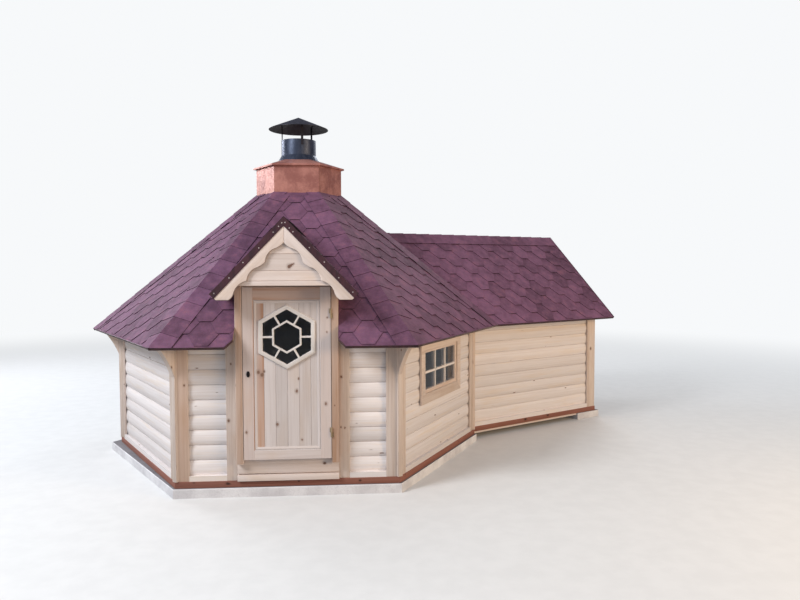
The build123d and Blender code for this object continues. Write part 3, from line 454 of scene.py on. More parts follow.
def modified(mesh, kind, **settings):
    """Mesh after a modifier."""
    made = add_object("work", mesh)
    modifier = made.modifiers.new(kind, kind)
    for name, value in settings.items():
        setattr(modifier, name, value)
    bpy.context.view_layer.update()
    graph = bpy.context.evaluated_depsgraph_get()
    result = bpy.data.meshes.new_from_object(made.evaluated_get(graph))
    bpy.data.objects.remove(made)
    return result


def bridge(bm, ring, other):
    """Faces between two rings of vertices."""
    pairs = [(i, (i + 1) % len(ring)) for i in range(len(ring))]
    return [bm.faces.new((ring[i], ring[j], other[j], other[i])) for i, j in pairs]


def solid(bm, near, far):
    """Closed solid between two rings of places. The first two of its faces are its ends."""
    near, far = [bm.verts.new(p) for p in near], [bm.verts.new(p) for p in far]
    return [bm.faces.new(near), bm.faces.new(far[::-1])] + bridge(bm, far, near)


def groove(start, end, side, depth, width):
    """V-shaped cutter between two points on a face; side points across it and depth into it."""
    rise = depth.normalized() * -0.002
    section = [side * (width / 2) + rise, side * (-width / 2) + rise, depth]
    return [start + p for p in section], [end + p for p in section]


def upright_groove(x, y, low, high, depth, width):
    """Groove up a face that looks along the door's direction; a depth below 0 runs towards the front."""
    return groove(Vector((x, y, low)), Vector((x, y, high)), X_AXIS, Y_AXIS * depth, width)


def grooved(mesh, cutters):
    """Mesh with the cutters taken out."""
    bm = bmesh.new()
    for start, end in cutters:
        solid(bm, end, start)
    bmesh.ops.recalc_face_normals(bm, faces=bm.faces)
    tool = add_object("cutters", bpy.data.meshes.new("cutters"))
    bm.to_mesh(tool.data)
    bm.free()
    result = modified(mesh, "BOOLEAN", object=tool, operation="DIFFERENCE", solver="EXACT")
    bpy.data.objects.remove(tool)
    return result


def dress(node, material, along_of, board_of=None, ease=0.002, body="hut", cutters=(), limit=30, tones=None):
    """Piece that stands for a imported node, with eased edges, grooves and the grain's places.
    Along_of(centre, normal) is the way the grain runs on a face, and board_of(face, centre) the face's board."""
    mesh = node_mesh(node)
    if cutters:
        mesh = grooved(mesh, cutters)
    if ease:
        mesh = modified(mesh, "BEVEL", width=ease, segments=2, limit_method="ANGLE", angle_limit=radians(30))
    bm = bmesh.new()
    bm.from_mesh(mesh)
    bm.normal_update()
    smooth_by_angle(bm, limit)
    grain_layers(bm, along_of, board_of or loose_parts(bm), node, tones)
    add_piece(bm, node + "_dressed", material, body, (node,))


def finish_mesh(bm, name, material, replaces=(), body="hut", along_of=None):
    """Piece of a bmesh, with the grain's places where it is timber."""
    bmesh.ops.recalc_face_normals(bm, faces=bm.faces)
    bm.normal_update()
    if along_of:
        grain_layers(bm, along_of, loose_parts(bm), name)
    add_piece(bm, name, material, body, replaces)


# Sheets, boards and shingles on slopes


class Slope:
    """Frame of a roof slope or a floor: u along the eave to the right, v up the slope, n out of it."""

    def __init__(self, origin, v, n):
        self.origin, self.v, self.n = origin, v, n
        self.u = v.cross(n)

    def at(self, u, v, n=0.0):
        return self.origin + self.u * u + self.v * v + self.n * n


def roof_slope(angle, run):
    """Slope of the main roofs that faces this angle, with its lower edge at this run."""
    out = outward(angle)
    return Slope(out * run + UP * EAVE_Z, out * -COS_P + UP * SIN_P, out * SIN_P + UP * COS_P)


def rectangle(u1, u2, v1, v2):
    return [(u1, v1), (u2, v1), (u2, v2), (u1, v2)]


def clipped(outline, planes):
    """Outline (u, v) cut by half planes a*u + b*v + c >= 0, or nothing where only a sliver is left."""
    for a, b, c in planes:
        kept = []
        for i, p in enumerate(outline):
            q = outline[(i + 1) % len(outline)]
            dp, dq = a * p[0] + b * p[1] + c, a * q[0] + b * q[1] + c
            if dp >= 0:
                kept.append(p)
            if (dp > 0) != (dq > 0) and abs(dp - dq) > 1e-9:
                t = dp / (dp - dq)
                kept.append((p[0] + (q[0] - p[0]) * t, p[1] + (q[1] - p[1]) * t))
        outline = kept
        if len(outline) < 3:
            return []
    clean = []
    for p in outline:
        if not clean or dist(p, clean[-1]) > 1e-4:
            clean.append(p)
    while len(clean) > 1 and dist(clean[0], clean[-1]) < 1e-4:
        clean.pop()
    area = sum(p[0] * q[1] - q[0] * p[1] for p, q in zip(clean, clean[1:] + clean[:1])) / 2
    return clean if len(clean) > 2 and abs(area) > 4e-5 else []


def sheet(bm, slope, outline, top, thickness, tone=0.5, cut_edges=False, at=None):
    """Closed thin solid on a slope. Top is the height of its upper face, or a function of (u, v) for it.
    With cut_edges its edges show bare bitumen. At(u, v, n) stands in for slope.at where it is given."""
    if not outline:
        return
    layer = tone_layer(bm)
    at = at or slope.at
    heights = [top(u, v) if callable(top) else top for u, v in outline]
    high, low = ([at(u, v, n - drop) for (u, v), n in zip(outline, heights)] for drop in (0, thickness))
    for number, face in enumerate(solid(bm, high, low)):
        face[layer] = -1.0 if cut_edges and number > 1 else tone


TAB_PITCH = 0.333
TAB_EXPOSURE = 0.1315
TAB_FLAT = 0.055  # half the width of a tab's lower edge
TAB_SHOULDER = 0.125  # half the width where a tab's sloping sides end
TAB_BAND = 0.012  # how far a row runs on under the second row above it
SHEET_T = 0.0042
SHINGLE_TOP = 0.0275
FALL = SHEET_T / TAB_EXPOSURE
STARTER_FOOT = 0.004
FIRST_ROW = 0.020
STARTER_END = FIRST_ROW + TAB_EXPOSURE + 0.014
TUCK = 0.004  # how far the tabs end short of the folds that the caps cover
DECK_T = 0.0165
DECK_BOARD = 0.096
DECK_GAP = 0.0007  # from a roof board's edge to the middle of its joint


def whole(outline):
    """One set of no further half planes, for slopes without a hole or notch."""
    return [[]]


def tab_outline(middle, low):
    """Hexagonal tab with the band above it that the next rows cover."""
    knee, head = low + TAB_EXPOSURE, low + 2 * TAB_EXPOSURE + TAB_BAND
    half = TAB_PITCH / 2
    return [
        (middle - TAB_FLAT, low), (middle + TAB_FLAT, low), (middle + TAB_SHOULDER, knee), (middle + half, knee),
        (middle + half, head), (middle - half, head), (middle - half, knee), (middle - TAB_SHOULDER, knee),
    ]


def lay_shingles(bm, slope, planes, width, height, seed, parts, phase, top):
    """Rows of tabs up a slope. Parts(outline) gives the sets of half planes that cut one outline into pieces."""
    random = Random(seed)
    planes = [(a, b, c - TUCK * hypot(a, b) if b < 0 else c) for a, b, c in planes]
    rows = [(rectangle(-width, width, STARTER_FOOT, STARTER_END), STARTER_FOOT - 1.2 * TAB_EXPOSURE)]
    count = ceil(width / TAB_PITCH) + 1
    for row in range(ceil((height - FIRST_ROW) / TAB_EXPOSURE)):
        low = FIRST_ROW + row * TAB_EXPOSURE + random.uniform(-0.003, 0.003)
        shift = phase + (row % 2) * TAB_PITCH / 2 + random.uniform(-0.006, 0.006)
        for number in range(-count, count + 1):
            rows.append((tab_outline(shift + number * TAB_PITCH, low), low))
    for outline, low in rows:
        lift = random.uniform(0, 0.0012)
        tone = random.random()
        for more in parts(outline):
            cut = clipped(outline, planes + more)
            sheet(bm, slope, cut, lambda u, v: top - lift - FALL * (v - low), SHEET_T, tone, True)


def lay_deck(bm, slope, planes, width, height, seed, parts):
    """Roof boards under the shingles, level along the slope."""
    random = Random(seed)
    for number in range(ceil(height / DECK_BOARD)):
        low = number * DECK_BOARD + DECK_GAP if number else 0.003
        outline = rectangle(-width, width, low, (number + 1) * DECK_BOARD - DECK_GAP)
        tone = random.random()
        for more in parts(outline):
            sheet(bm, slope, clipped(outline, planes + more), DECK_T, DECK_T, tone)


def inside(planes, inset):
    """Half planes drawn in, but for the eave's, for boards whose top lies lower than the shingles."""
    return [(a, b, c - (inset * hypot(a, b) if (a, b) != (0, 1) else 0.0)) for a, b, c in planes]


def cover(bm, node, slope, planes, width, height, phase, inset, parts=whole, top=SHINGLE_TOP):
    """Shingles, added to bm, and boards that stand for a packed slope; inset is how far the boards are drawn in."""
    lay_shingles(bm, slope, planes, width, height, node, parts, phase, top)
    finish_mesh(bm, node + "_shingles", SHINGLE, (node,))
    bm = bmesh.new()
    lay_deck(bm, slope, inside(planes, inset), width, height, node, parts)
    finish_mesh(bm, node + "_boards", DECK_WOOD, (node,), along_of=fixed(slope.u))


def unit(a, b):
    size = hypot(a, b)
    return a / size, b / size


CAP_HALF = 0.167
CAP_EXPOSURE = 0.190
CAP_LENGTH = 0.245
CAP_TOP = 0.0312
CAP_FALL = SHEET_T / CAP_EXPOSURE * 0.9


def lay_caps(bm, slope, start, direction, side, length, planes, seed, first=0.006, ridge=ROOF_T, cap_top=CAP_TOP):
    """Caps on one side of a hip or ridge: start and direction in the slope's plane, side points into the slope.
    Both halves meet in the upright plane through the hip, whose sharp edge lies at the height ridge."""
    random = Random(seed)
    line = slope.u * direction[0] + slope.v * direction[1]
    fold = (UP - line * UP.dot(line)).normalized()
    fold /= fold.dot(slope.n)

    def reach(u, v, way):
        return (u - start[0]) * way[0] + (v - start[1]) * way[1]

    def at(u, v, n):
        if reach(u, v, side) > 0.001:
            return slope.at(u, v, n)
        return slope.at(u, v, ridge) + fold * (n - ridge)

    low = first
    while low < length:
        corners = rectangle(low, min(low + CAP_LENGTH, length), 0, CAP_HALF)
        outline = [tuple(o + d * s + i * w for o, d, i in zip(start, direction, side)) for s, w in corners]
        sheet(bm, slope, clipped(outline, planes), lambda u, v: cap_top - CAP_FALL * (reach(u, v, direction) - low),
              SHEET_T, random.random(), True, at)
        low += CAP_EXPOSURE if low > first else CAP_EXPOSURE - 0.015


# Half planes that bound the slopes, for places on their upper face

TAN30 = tan(radians(30))
HEX_TOP = EAVE_RUN + ROOF_T * SIN_P
EXT_TOP = EXT_RUN + ROOF_T * SIN_P
MEET = EAVE_RUN - EXT_RUN
HIP_LEAN = TAN30 * COS_P
HEX_WIDTH = TAN30 * HEX_TOP
HEX_HEIGHT = (HEX_TOP - COLLAR_RUN) / COS_P
EXT_HEIGHT = EXT_TOP / COS_P
UNDER_COLLAR = (0, -1, HEX_HEIGHT + TUCK + 0.002)
HEX_PLANES = [(0, 1, 0), (-1, -HIP_LEAN, HEX_WIDTH), (1, -HIP_LEAN, HEX_WIDTH), UNDER_COLLAR]
DECK_INSET = (ROOF_T - DECK_T) * SIN_P + 0.004
VALLEYS = {side: (side, COS_P, MEET - HEX_TOP) for side in (1, -1)}
VALLEY_LAP = 0.012  # how far the extension's slopes run on under the hexagon's
EXT_PLANES = {
    side: [(0, 1, 0), (0, -1, EXT_HEIGHT), (-side, 0, EXT_RAKE), (side, COS_P, VALLEY_LAP - EXT_TOP - MEET)]
    for side in (1, -1)
}
NOTCH_V = (HEX_TOP - 1.255) / COS_P
CLIP = 0.060


def front_parts(outline):
    """Half planes for the front slope on both sides of the door's notch, and above it."""
    if min(v for u, v in outline) > NOTCH_V:
        return [[]]
    cut = COS_P, -FRAME_HALF - CLIP - 0.0035 * hypot(1, COS_P)
    beside = [[(side, 0, -FRAME_HALF), (side, *cut)] for side in (1, -1)]
    return beside + [[(0, 1, -NOTCH_V), (1, 0, FRAME_HALF), (-1, 0, FRAME_HALF)]]


def behind_parts(outline):
    """Half planes for the slope behind the extension's roof, on both sides of its valleys."""
    if min(v for u, v in outline) > (HEX_TOP - MEET) / COS_P:
        return [[]]
    return [[VALLEYS[side], (side, 0, 0)] for side in (1, -1)]


HEX_ROOF = EAVE_RUN, HEX_PLANES, HEX_WIDTH, HEX_HEIGHT
for node, angle, (run, planes, width, height), phase, parts in (
    ("roof_front", FRONT, HEX_ROOF, -0.668, front_parts),
    ("roof_left_front", LEFT_FRONT, HEX_ROOF, 0.1, whole),
    ("roof_left_back", LEFT_BACK, HEX_ROOF, 0.05, whole),
    ("roof_back", BACK, HEX_ROOF, 0.0, whole),
    ("roof_right_front", RIGHT, HEX_ROOF, 0.07, whole),
    ("roof_right_back", EXT_ANGLE, HEX_ROOF, 0.0, behind_parts),
    ("roof_extension_front", EXT_ANGLE - 90, (EXT_RUN, EXT_PLANES[1], EXT_RAKE, EXT_HEIGHT), 0.02, whole),
    ("roof_extension_back", EXT_ANGLE + 90, (EXT_RUN, EXT_PLANES[-1], EXT_RAKE, EXT_HEIGHT), 0.05, whole),
):
    cover(bmesh.new(), node, roof_slope(angle, run), planes, width, height, phase, DECK_INSET, parts)

# Folded caps along the six hips and along the extension's ridge

hip_length = hypot(HEX_HEIGHT, HIP_LEAN * HEX_HEIGHT)
for corner in range(0, 360, 60):
    bm = bmesh.new()
    for side in (1, -1):
        angle = (corner - side * 30) % 360
        planes = HEX_PLANES + ([VALLEYS[side]] if angle == EXT_ANGLE else [])
        hip = (side * HEX_WIDTH, 0.0), unit(-side * HIP_LEAN, 1), unit(-side, -HIP_LEAN)
        lay_caps(bm, roof_slope(angle, EAVE_RUN), *hip, hip_length, planes, f"hip {corner}")
    finish_mesh(bm, f"hip_caps_{corner}", SHINGLE)

bm = bmesh.new()
for side in (1, -1):
    slope = roof_slope(EXT_ANGLE - side * 90, EXT_RUN)
    ridge = (side * EXT_RAKE, EXT_HEIGHT), (-side, 0), (0, -1)
    lay_caps(bm, slope, *ridge, EXT_RAKE - MEET, EXT_PLANES[side], "ridge")
finish_mesh(bm, "ridge_caps", SHINGLE)

# Dark edge strips along the eaves and the extension's rakes

STRIP_FACE = 0.002, 0.0292, 0.0292  # width, height of the upper face, thickness
STRIP_FLANGE = 0.045, 0.0178, 0.0012


def edge_strip(bm, slope, start, end, inward):
    """Angle section between two (u, v) places: a face on the edge's end and a flange on the boards."""
    for width, top, thickness in (STRIP_FACE, STRIP_FLANGE):
        back = [(u + inward[0] * width, v + inward[1] * width) for u, v in (end, start)]
        sheet(bm, slope, [start, end, *back], top, thickness)


bm = bmesh.new()
for angle in (LEFT_FRONT, LEFT_BACK, BACK, RIGHT):
    edge_strip(bm, roof_slope(angle, EAVE_RUN), (-HEX_WIDTH, 0), (HEX_WIDTH, 0), (0, 1))
for side in (1, -1):
    slope, corner = roof_slope(FRONT, EAVE_RUN), (side * (FRAME_HALF + CLIP), 0)
    edge_strip(bm, slope, (side * HEX_WIDTH, 0), corner, (0, 1))
    edge_strip(bm, slope, (side * FRAME_HALF, CLIP / COS_P), corner, unit(side, COS_P))
    slope, corner = roof_slope(EXT_ANGLE - side * 90, EXT_RUN), (side * EXT_RAKE, 0)
    edge_strip(bm, slope, (side * (EXT_TOP + MEET - VALLEY_LAP), 0), corner, (0, 1))
    edge_strip(bm, slope, corner, (side * EXT_RAKE, EXT_HEIGHT), (-side, 0))
finish_mesh(bm, "eave_edges", EDGE_METAL)

# Dormer roof

FLASHING_LOW, FLASHING_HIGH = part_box("dormer_flashing")
APEX = UP * FLASHING_HIGH.z
DORMER_HEIGHT = DORMER_HALF / cos(DORMER_PITCH)


def rake(side):
    """Directions down the dormer's slope on one side, and out of it."""
    across, up = side * cos(DORMER_PITCH), sin(DORMER_PITCH)
    return Vector((across, 0, -up)), Vector((side * up, 0, side * across))


foot_z = FLASHING_HIGH.z - tan(DORMER_PITCH) * DORMER_HALF
reach = foot_z - EAVE_Z - ROOF_T / COS_P - EAVE_RUN * tan(ROOF_PITCH)
for side, node in ((-1, "dormer_roof_left"), (1, "dormer_roof_right")):
    down, out = rake(side)
    slope = Slope(Vector((side * DORMER_HALF, 0, foot_z)) - out * DORMER_T, -down, out)
    planes = [
        (0, 1, 0), (0, -1, DORMER_HEIGHT), (side, 0, DORMER_RUN), (-side * tan(ROOF_PITCH), sin(DORMER_PITCH), reach),
    ]
    bm = bmesh.new()
    ridge = (-side * DORMER_RUN, DORMER_HEIGHT), (side, 0), (0, -1)
    lay_caps(bm, slope, *ridge, 2.0, planes, "dormer ridge", 0.0, DORMER_T, DORMER_T + 0.0025)
    cover(bm, node, slope, planes, DORMER_RUN + 0.2, DORMER_HEIGHT, 0.06, 0.012, top=DORMER_T - 0.0005)

# Walls of logs, with a groove at each joint


def log_course(face, centre):
    """Course of a log wall that a face belongs to."""
    return floor((centre.z - LOG_START) / LOG_PITCH + 0.001)


JOINT_BACK = 0.022 + 0.013  # from a wall's face to the joints between the logs
for node, angle, run in (
    ("wall_front_left", FRONT, INRADIUS), ("wall_front_right", FRONT, INRADIUS),
    ("wall_left_front", LEFT_FRONT, INRADIUS), ("wall_left_back", LEFT_BACK, INRADIUS),
    ("wall_back", BACK, INRADIUS), ("wall_right", RIGHT, INRADIUS),
    ("extension_wall_front", EXT_ANGLE - 90, EXT_HALF), ("extension_wall_back", EXT_ANGLE + 90, EXT_HALF),
    ("extension_wall_end", EXT_ANGLE, EXT_END),
):
    out, along = outward(angle), outward(angle + 90)
    start, end = (out * (run - JOINT_BACK) + along * reach for reach in (-5, 5))
    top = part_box(node)[1].z
    heights = [LOG_START + LOG_PITCH * k for k in range(1, 20)]
    joints = [groove(start + UP * z, end + UP * z, UP, out * -0.007, 0.006) for z in heights if z < top - 0.02]
    dress(node, LOG_WOOD, level(along), log_course, ease=0, limit=14, cutters=joints)

# Posts, trims and the door's frame


def turn(x, y, step, start=0):
    """Number of steps in degrees from the start to the direction (x, y)."""
    return round((degrees(atan2(y, x)) - start) / step)


def post_board(face, centre):
    """Corner that a post stands at, and the way that this face of it looks."""
    return turn(centre.x, centre.y, 60) % 6, turn(face.normal.x, face.normal.y, 30)


def in_head(centre):
    return abs(centre.x) < DOOR_HALF - 0.02 and centre.z > HEAD_Z - 0.02


def frame_grain(centre, normal):
    return X_AXIS if in_head(centre) else UP


def frame_board(face, centre):
    return "head" if in_head(centre) else "right" if centre.x > 0 else "left"


dress("corner_posts", BOARD_WOOD, upright, post_board, tones={(4, -3): 1.27, (5, -3): 0.4})
dress("extension_posts", BOARD_WOOD, upright)
dress("eave_brackets", BOARD_WOOD, upright, ease=0.003)
dress("threshold", GABLE_WOOD, level(X_AXIS), ease=0.003)
dress("door_trims", BOARD_WOOD, upright, ease=0.003)
dress("door_frame", BOARD_WOOD, frame_grain, frame_board, ease=0.003,
      tones={"right": 1.45, "left": 0.9})

# Dormer: boards of its gable, cheeks and bargeboards

GABLE_JOINTS = (1.815, 1.898, 2.031)
GABLE_RUN = DORMER_RUN - 0.022


def gable_board(face, centre):
    return sum(centre.z > z for z in GABLE_JOINTS)


def barge_grain(centre, normal):
    return rake(1 if centre.x > 0 else -1)[0]


def barge_board(face, centre):
    """Board of a face, and whether it is the board's face, its cut edge or the chamfer between them."""
    cut = "edge" if abs(face.normal.y) < 0.3 else "face" if abs(face.normal.y) > 0.95 else "chamfer"
    return centre.x > 0, cut if face.normal.z < 0 or cut == "face" else "top"


cuts = [
    groove(Vector((-0.5, -GABLE_RUN, z)), Vector((0.5, -GABLE_RUN, z)), UP, Y_AXIS * 0.006, 0.006)
    for z in GABLE_JOINTS
]
dress("dormer_gable", GABLE_WOOD, fixed(X_AXIS), gable_board, cutters=cuts, ease=0)
dress("dormer_cheeks", BOARD_WOOD, fixed(Y_AXIS))
cuts = [upright_groove(0, -DORMER_RUN, 1.95, 2.4, 0.008, 0.004)]
# Painted shade on the bargeboards: the edges' tone of -1.0 is sawn end grain together with painted shade, the left
# chamfers' -0.45 is painted shade on the side that faces away from the light, and the right chamfers' 1.0 keeps them at
# their palest, painted light on the lit side.
dress("dormer_bargeboards", GABLE_WOOD, barge_grain, barge_board, cutters=cuts, ease=0.005,
      tones={(True, "edge"): -1.0, (False, "edge"): -1.0, (False, "chamfer"): -0.45, (True, "chamfer"): 1.0})

# Sills


def sill_side(face, centre):
    return turn(centre.x, centre.y, 60, 30)


def sill_grain(centre, normal):
    return level(outward(sill_side(None, centre) * 60 + 120))(centre, normal)


dress("sill_hexagon", SILL_WOOD, sill_grain, sill_side, ease=0.003)
dress("sill_extension", SILL_WOOD, level(outward(EXT_ANGLE)), ease=0.003)

# Window: its frame, with two upright bars and one level bar on both sides of the glass

WINDOW_ALONG, WINDOW_OUT = outward(RIGHT + 90), outward(RIGHT)
BAR_HALF = 0.011
LEVEL_BAR_Z = WINDOW_Z - 0.014
GLASS_RUN = INRADIUS - 0.067 + 0.0225


def sash_place(centre):
    """Place in shares of the window's half width and half height."""
    return (centre.dot(WINDOW_ALONG) - WINDOW_U) / (WINDOW_W / 2), (centre.z - WINDOW_Z) / (WINDOW_H / 2)


def sash_grain(centre, normal):
    u, z = sash_place(centre)
    return WINDOW_ALONG if abs(z) > abs(u) else UP


def sash_board(face, centre):
    u, z = sash_place(centre)
    side = (u > 0, "stile") if abs(z) <= abs(u) else (z > 0, "rail")
    return side, centre.dot(WINDOW_OUT) > INRADIUS - 0.023


def bar(bm, run, start, end, side, middle, back, front, ease=0.004):
    """Squared bar along run from start to end, with its middle at a place along side and its outer edges cut back."""
    low, high = middle - BAR_HALF, middle + BAR_HALF
    section = [(low, back), (low, front - ease), (low + ease, front),
               (high - ease, front), (high, front - ease), (high, back)]
    solid(bm, *([run * length + side * s + WINDOW_OUT * r for s, r in section] for length in (start, end)))


dress("window_frame", BOARD_WOOD, sash_grain, sash_board, ease=0.0025)
bm = bmesh.new()
low, high = WINDOW_Z - WINDOW_H / 2, WINDOW_Z + WINDOW_H / 2
for back, front in ((GLASS_RUN + 0.006, INRADIUS - 0.020), (GLASS_RUN - 0.016, GLASS_RUN)):
    for part in (-1, 1):
        bar(bm, UP, low, high, WINDOW_ALONG, WINDOW_U + part * WINDOW_W / 6, back, front)
    for part in (-1, 0, 1):
        middle = WINDOW_U + part * (WINDOW_W / 3 + BAR_HALF / 2)
        half = WINDOW_W / 6 - (BAR_HALF / 2 if part else BAR_HALF)
        bar(bm, WINDOW_ALONG, middle - half, middle + half, UP, LEVEL_BAR_Z, back, front - 0.001)
finish_mesh(bm, "window_bars", BAR_WOOD, along_of=sash_grain)

# Door leaf: grooves between its boards on both faces, and fine ones where its rails meet its stiles

LEAF_LOW, LEAF_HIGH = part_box("door_leaf")
FIELD_RUN = FRAME_RUN - 0.008
FIELD_LEFT = -0.190  # first joint of the field
LEAF_BOARD = 0.096
STILE_JOINT = 0.2755
FIELD_FOOT, FIELD_HEAD = LEAF_LOW.z + 0.079, LEAF_HIGH.z - 0.108

cuts = [
    upright_groove(FIELD_LEFT + number * LEAF_BOARD, -FIELD_RUN, FIELD_FOOT, FIELD_HEAD, 0.004, 0.005)
    for number in range(5)
]
for side in (-1, 1):
    for low, high in ((LEAF_LOW.z - 0.01, FIELD_FOOT - 0.003), (FIELD_HEAD + 0.002, LEAF_HIGH.z + 0.01)):
        cuts.append(upright_groove(side * STILE_JOINT, LEAF_LOW.y, low, high, 0.0012, 0.0024))
for number in range(-3, 4):
    cuts.append(upright_groove(number * LEAF_BOARD, LEAF_HIGH.y, LEAF_LOW.z - 0.01, LEAF_HIGH.z + 0.01, -0.004, 0.005))


def leaf_board(face, centre):
    if centre.y > LEAF_LOW.y + 0.02:
        return "back", floor(centre.x / LEAF_BOARD)
    if centre.y > LEAF_LOW.y + 0.0005:
        return "field", floor((centre.x - FIELD_LEFT) / LEAF_BOARD)
    return ("stile", centre.x > 0) if abs(centre.x) > STILE_JOINT else ("rail", centre.z > LIGHT_Z)


def leaf_grain(centre, normal):
    return X_AXIS if leaf_board(None, centre)[0] == "rail" else UP


# The top rail's tone of 1.32 is painted shade: its heartwood colour darkens it as the dormer's shadow would.
dress("door_leaf", DOOR_WOOD, leaf_grain, leaf_board, cutters=cuts, ease=0, body="door", tones={
    ("field", -1): 1.5, ("field", 0): 0.9, ("field", 3): 0.5, ("stile", True): 1.17, ("stile", False): 1.2,
    ("rail", True): 1.32, ("rail", False): 1.12,
})

# Planted bead around the field of the leaf, mitred at its corners

BEAD = ((0.0, 0.0), (0.0, 0.0045), (0.004, 0.0058), (0.010, 0.0050), (0.015, 0.0028), (0.019, 0.0020), (0.021, 0.0))
BEAD_HALF = 0.268
BEAD_LOW, BEAD_HIGH = FIELD_FOOT + 0.005, FIELD_HEAD - 0.005


def bead_grain(centre, normal):
    middle, half = (BEAD_LOW + BEAD_HIGH) / 2, (BEAD_HIGH - BEAD_LOW) / 2
    return UP if BEAD_HALF - abs(centre.x) < half - abs(centre.z - middle) else X_AXIS


bm = bmesh.new()
rings = []
for inset, lift in BEAD:
    corners = rectangle(inset - BEAD_HALF, BEAD_HALF - inset, BEAD_LOW + inset, BEAD_HIGH - inset)
    rings.append([bm.verts.new((x, -(FIELD_RUN + lift), z)) for x, z in corners])
for outer, inner in zip(rings, rings[1:] + rings[:1]):
    bridge(bm, outer, inner)
finish_mesh(bm, "door_bead", DOOR_WOOD, body="door", along_of=bead_grain)

# Frame of the door's light


def light_side(face, centre):
    return turn(centre.x, centre.z - LIGHT_Z, 60)


def light_grain(centre, normal):
    angle = radians(light_side(None, centre) * 60 + 90)
    return Vector((cos(angle), 0, sin(angle)))


dress("door_light", BAR_WOOD, light_grain, light_side, ease=0.0015, body="door")

# Floors: boards on their battens

FLOOR_BOARD, FLOOR_GAP = 0.112, 0.001
BATTEN_HALF = 0.030


def lay_floor(node, angle, planes, width, near, far, batten_step):
    """Floor boards from near to far along the direction of this angle, on seven battens that run the same way."""
    place = Slope(Vector(), outward(angle), UP)
    random = Random(node)
    bm = bmesh.new()
    for number in range(floor(near / FLOOR_BOARD), ceil(far / FLOOR_BOARD)):
        low, high = number * FLOOR_BOARD + FLOOR_GAP, (number + 1) * FLOOR_BOARD - FLOOR_GAP
        sheet(bm, place, clipped(rectangle(-width, width, low, high), planes), SILL_TOP, 0.028, random.random())
    for middle in (number * batten_step for number in range(-3, 4)):
        batten = clipped(rectangle(middle - BATTEN_HALF, middle + BATTEN_HALF, -5, 5), planes)
        sheet(bm, place, batten, SILL_TOP - 0.0285, 0.026)
    finish_mesh(bm, node + "_boards", FLOOR_WOOD, (node,), along_of=fixed(place.u))


inner = SILL_OUT - SILL_W  # from a wall's face to the sill's inner side
hexagon = [(-sin(radians(a)), -cos(radians(a)), INRADIUS + inner) for a in range(0, 360, 60)]
lay_floor("floor_main", FRONT, hexagon, 2.0, -1.7, 1.7, 0.480)
half, near, far = EXT_HALF + inner, INRADIUS + SILL_OUT, EXT_END + inner
room = [(1, 0, half), (-1, 0, half), (0, 1, -near), (0, -1, far)]
lay_floor("floor_extension", EXT_ANGLE, room, half, near - 0.1, far + 0.1, 0.240)

# Thin pale battens under the extension's sill, between the slab and the far blocks

bm = bmesh.new()
place = Slope(Vector(), outward(EXT_ANGLE), UP)
near, far = INRADIUS + 0.030, EXT_END - 0.332
for side in (1, -1):
    outline = rectangle(side * (EXT_HALF - 0.045), side * (EXT_HALF - 0.004), near, far)
    sheet(bm, place, outline, BASE_H, 0.022)
finish_mesh(bm, "extension_battens", GABLE_WOOD, along_of=fixed(place.v))

# Dark edge of the dormer: a sheet for each side with a folded hem, and its nails

FLASHING_H = 0.052
HEM_H = 0.006
NAIL = 0.0050, 0.0011  # radius and height of a head
PLATE_FRONT = FLASHING_LOW.y + 0.0012


def edge_band(bm, side, upper, lower, front, back):
    """Band along one rake, between two depths below its top edge."""
    down, out = rake(side)
    foot = APEX + down * DORMER_HEIGHT
    high, low = (UP * (depth / cos(DORMER_PITCH)) for depth in (upper, lower))
    outline = [APEX - high, foot - out * upper, foot - out * lower, APEX - low]
    solid(bm, *([p + Y_AXIS * y for p in outline] for y in (front, back)))


def nail(bm, centre, radius, height, out, corners=10):
    """Low domed head on a face."""
    side = out.orthogonal().normalized()
    other = out.cross(side)
    turns = [2 * pi * k / corners for k in range(corners)]
    rings = [
        [bm.verts.new(centre + (side * cos(t) + other * sin(t)) * radius * share + out * height * lift) for t in turns]
        for share, lift in ((1.0, 0.0), (1.0, 0.35), (0.62, 0.85))
    ]
    bm.faces.new(rings[0][::-1])
    for low, high in zip(rings, rings[1:]):
        bridge(bm, low, high)
    tip = bm.verts.new(centre + out * height)
    for i in range(corners):
        bm.faces.new((rings[-1][i], rings[-1][(i + 1) % corners], tip))


bm = bmesh.new()
for side in (1, -1):
    edge_band(bm, side, 0.0, FLASHING_H, PLATE_FRONT, FLASHING_HIGH.y)
    edge_band(bm, side, FLASHING_H - HEM_H, FLASHING_H - 0.0002, FLASHING_LOW.y + 0.0002, PLATE_FRONT + 0.001)
finish_mesh(bm, "dormer_edge", EDGE_METAL, ("dormer_flashing",))

bm = bmesh.new()
random = Random("nails")
for side in (1, -1):
    down, out = rake(side)
    for run in (0.030, 0.075, 0.125, 0.30, 0.47, 0.64, 0.80):
        top = APEX + Y_AXIS * PLATE_FRONT + down * (run + random.uniform(0.008, 0.022))
        nail(bm, top - out * random.uniform(0.020, 0.032), *NAIL, -Y_AXIS)
finish_mesh(bm, "flashing_nails", NAIL_METAL)

# Nodes that keep their own mesh

for material, nodes in (
    (CONCRETE, ("foundation_slab", "foundation_blocks")), (GLASS, ("door_glass", "window_glass")),
    (LOCK_METAL, ("door_lock",)), (HINGE_METAL, ("hinges_leaf", "hinges_frame")),
    (COLLAR_METAL, ("smoke_collar", "collar_lid")), (PIPE_METAL, ("chimney_pipe",)), (HAT_METAL, ("chimney_hat",)),
):
    for node in nodes:
        coat(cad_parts[node].data, material)

# Camera, as solved from the photograph

IMAGE_W, FOCAL_LENGTH = 800, 692.33  # in pixels
SENSOR = 36.0
EYE = (0.4936, -7.4445, 1.9386)
YAW, PITCH, ROLL = radians(4.42), radians(2.89), radians(-0.14)

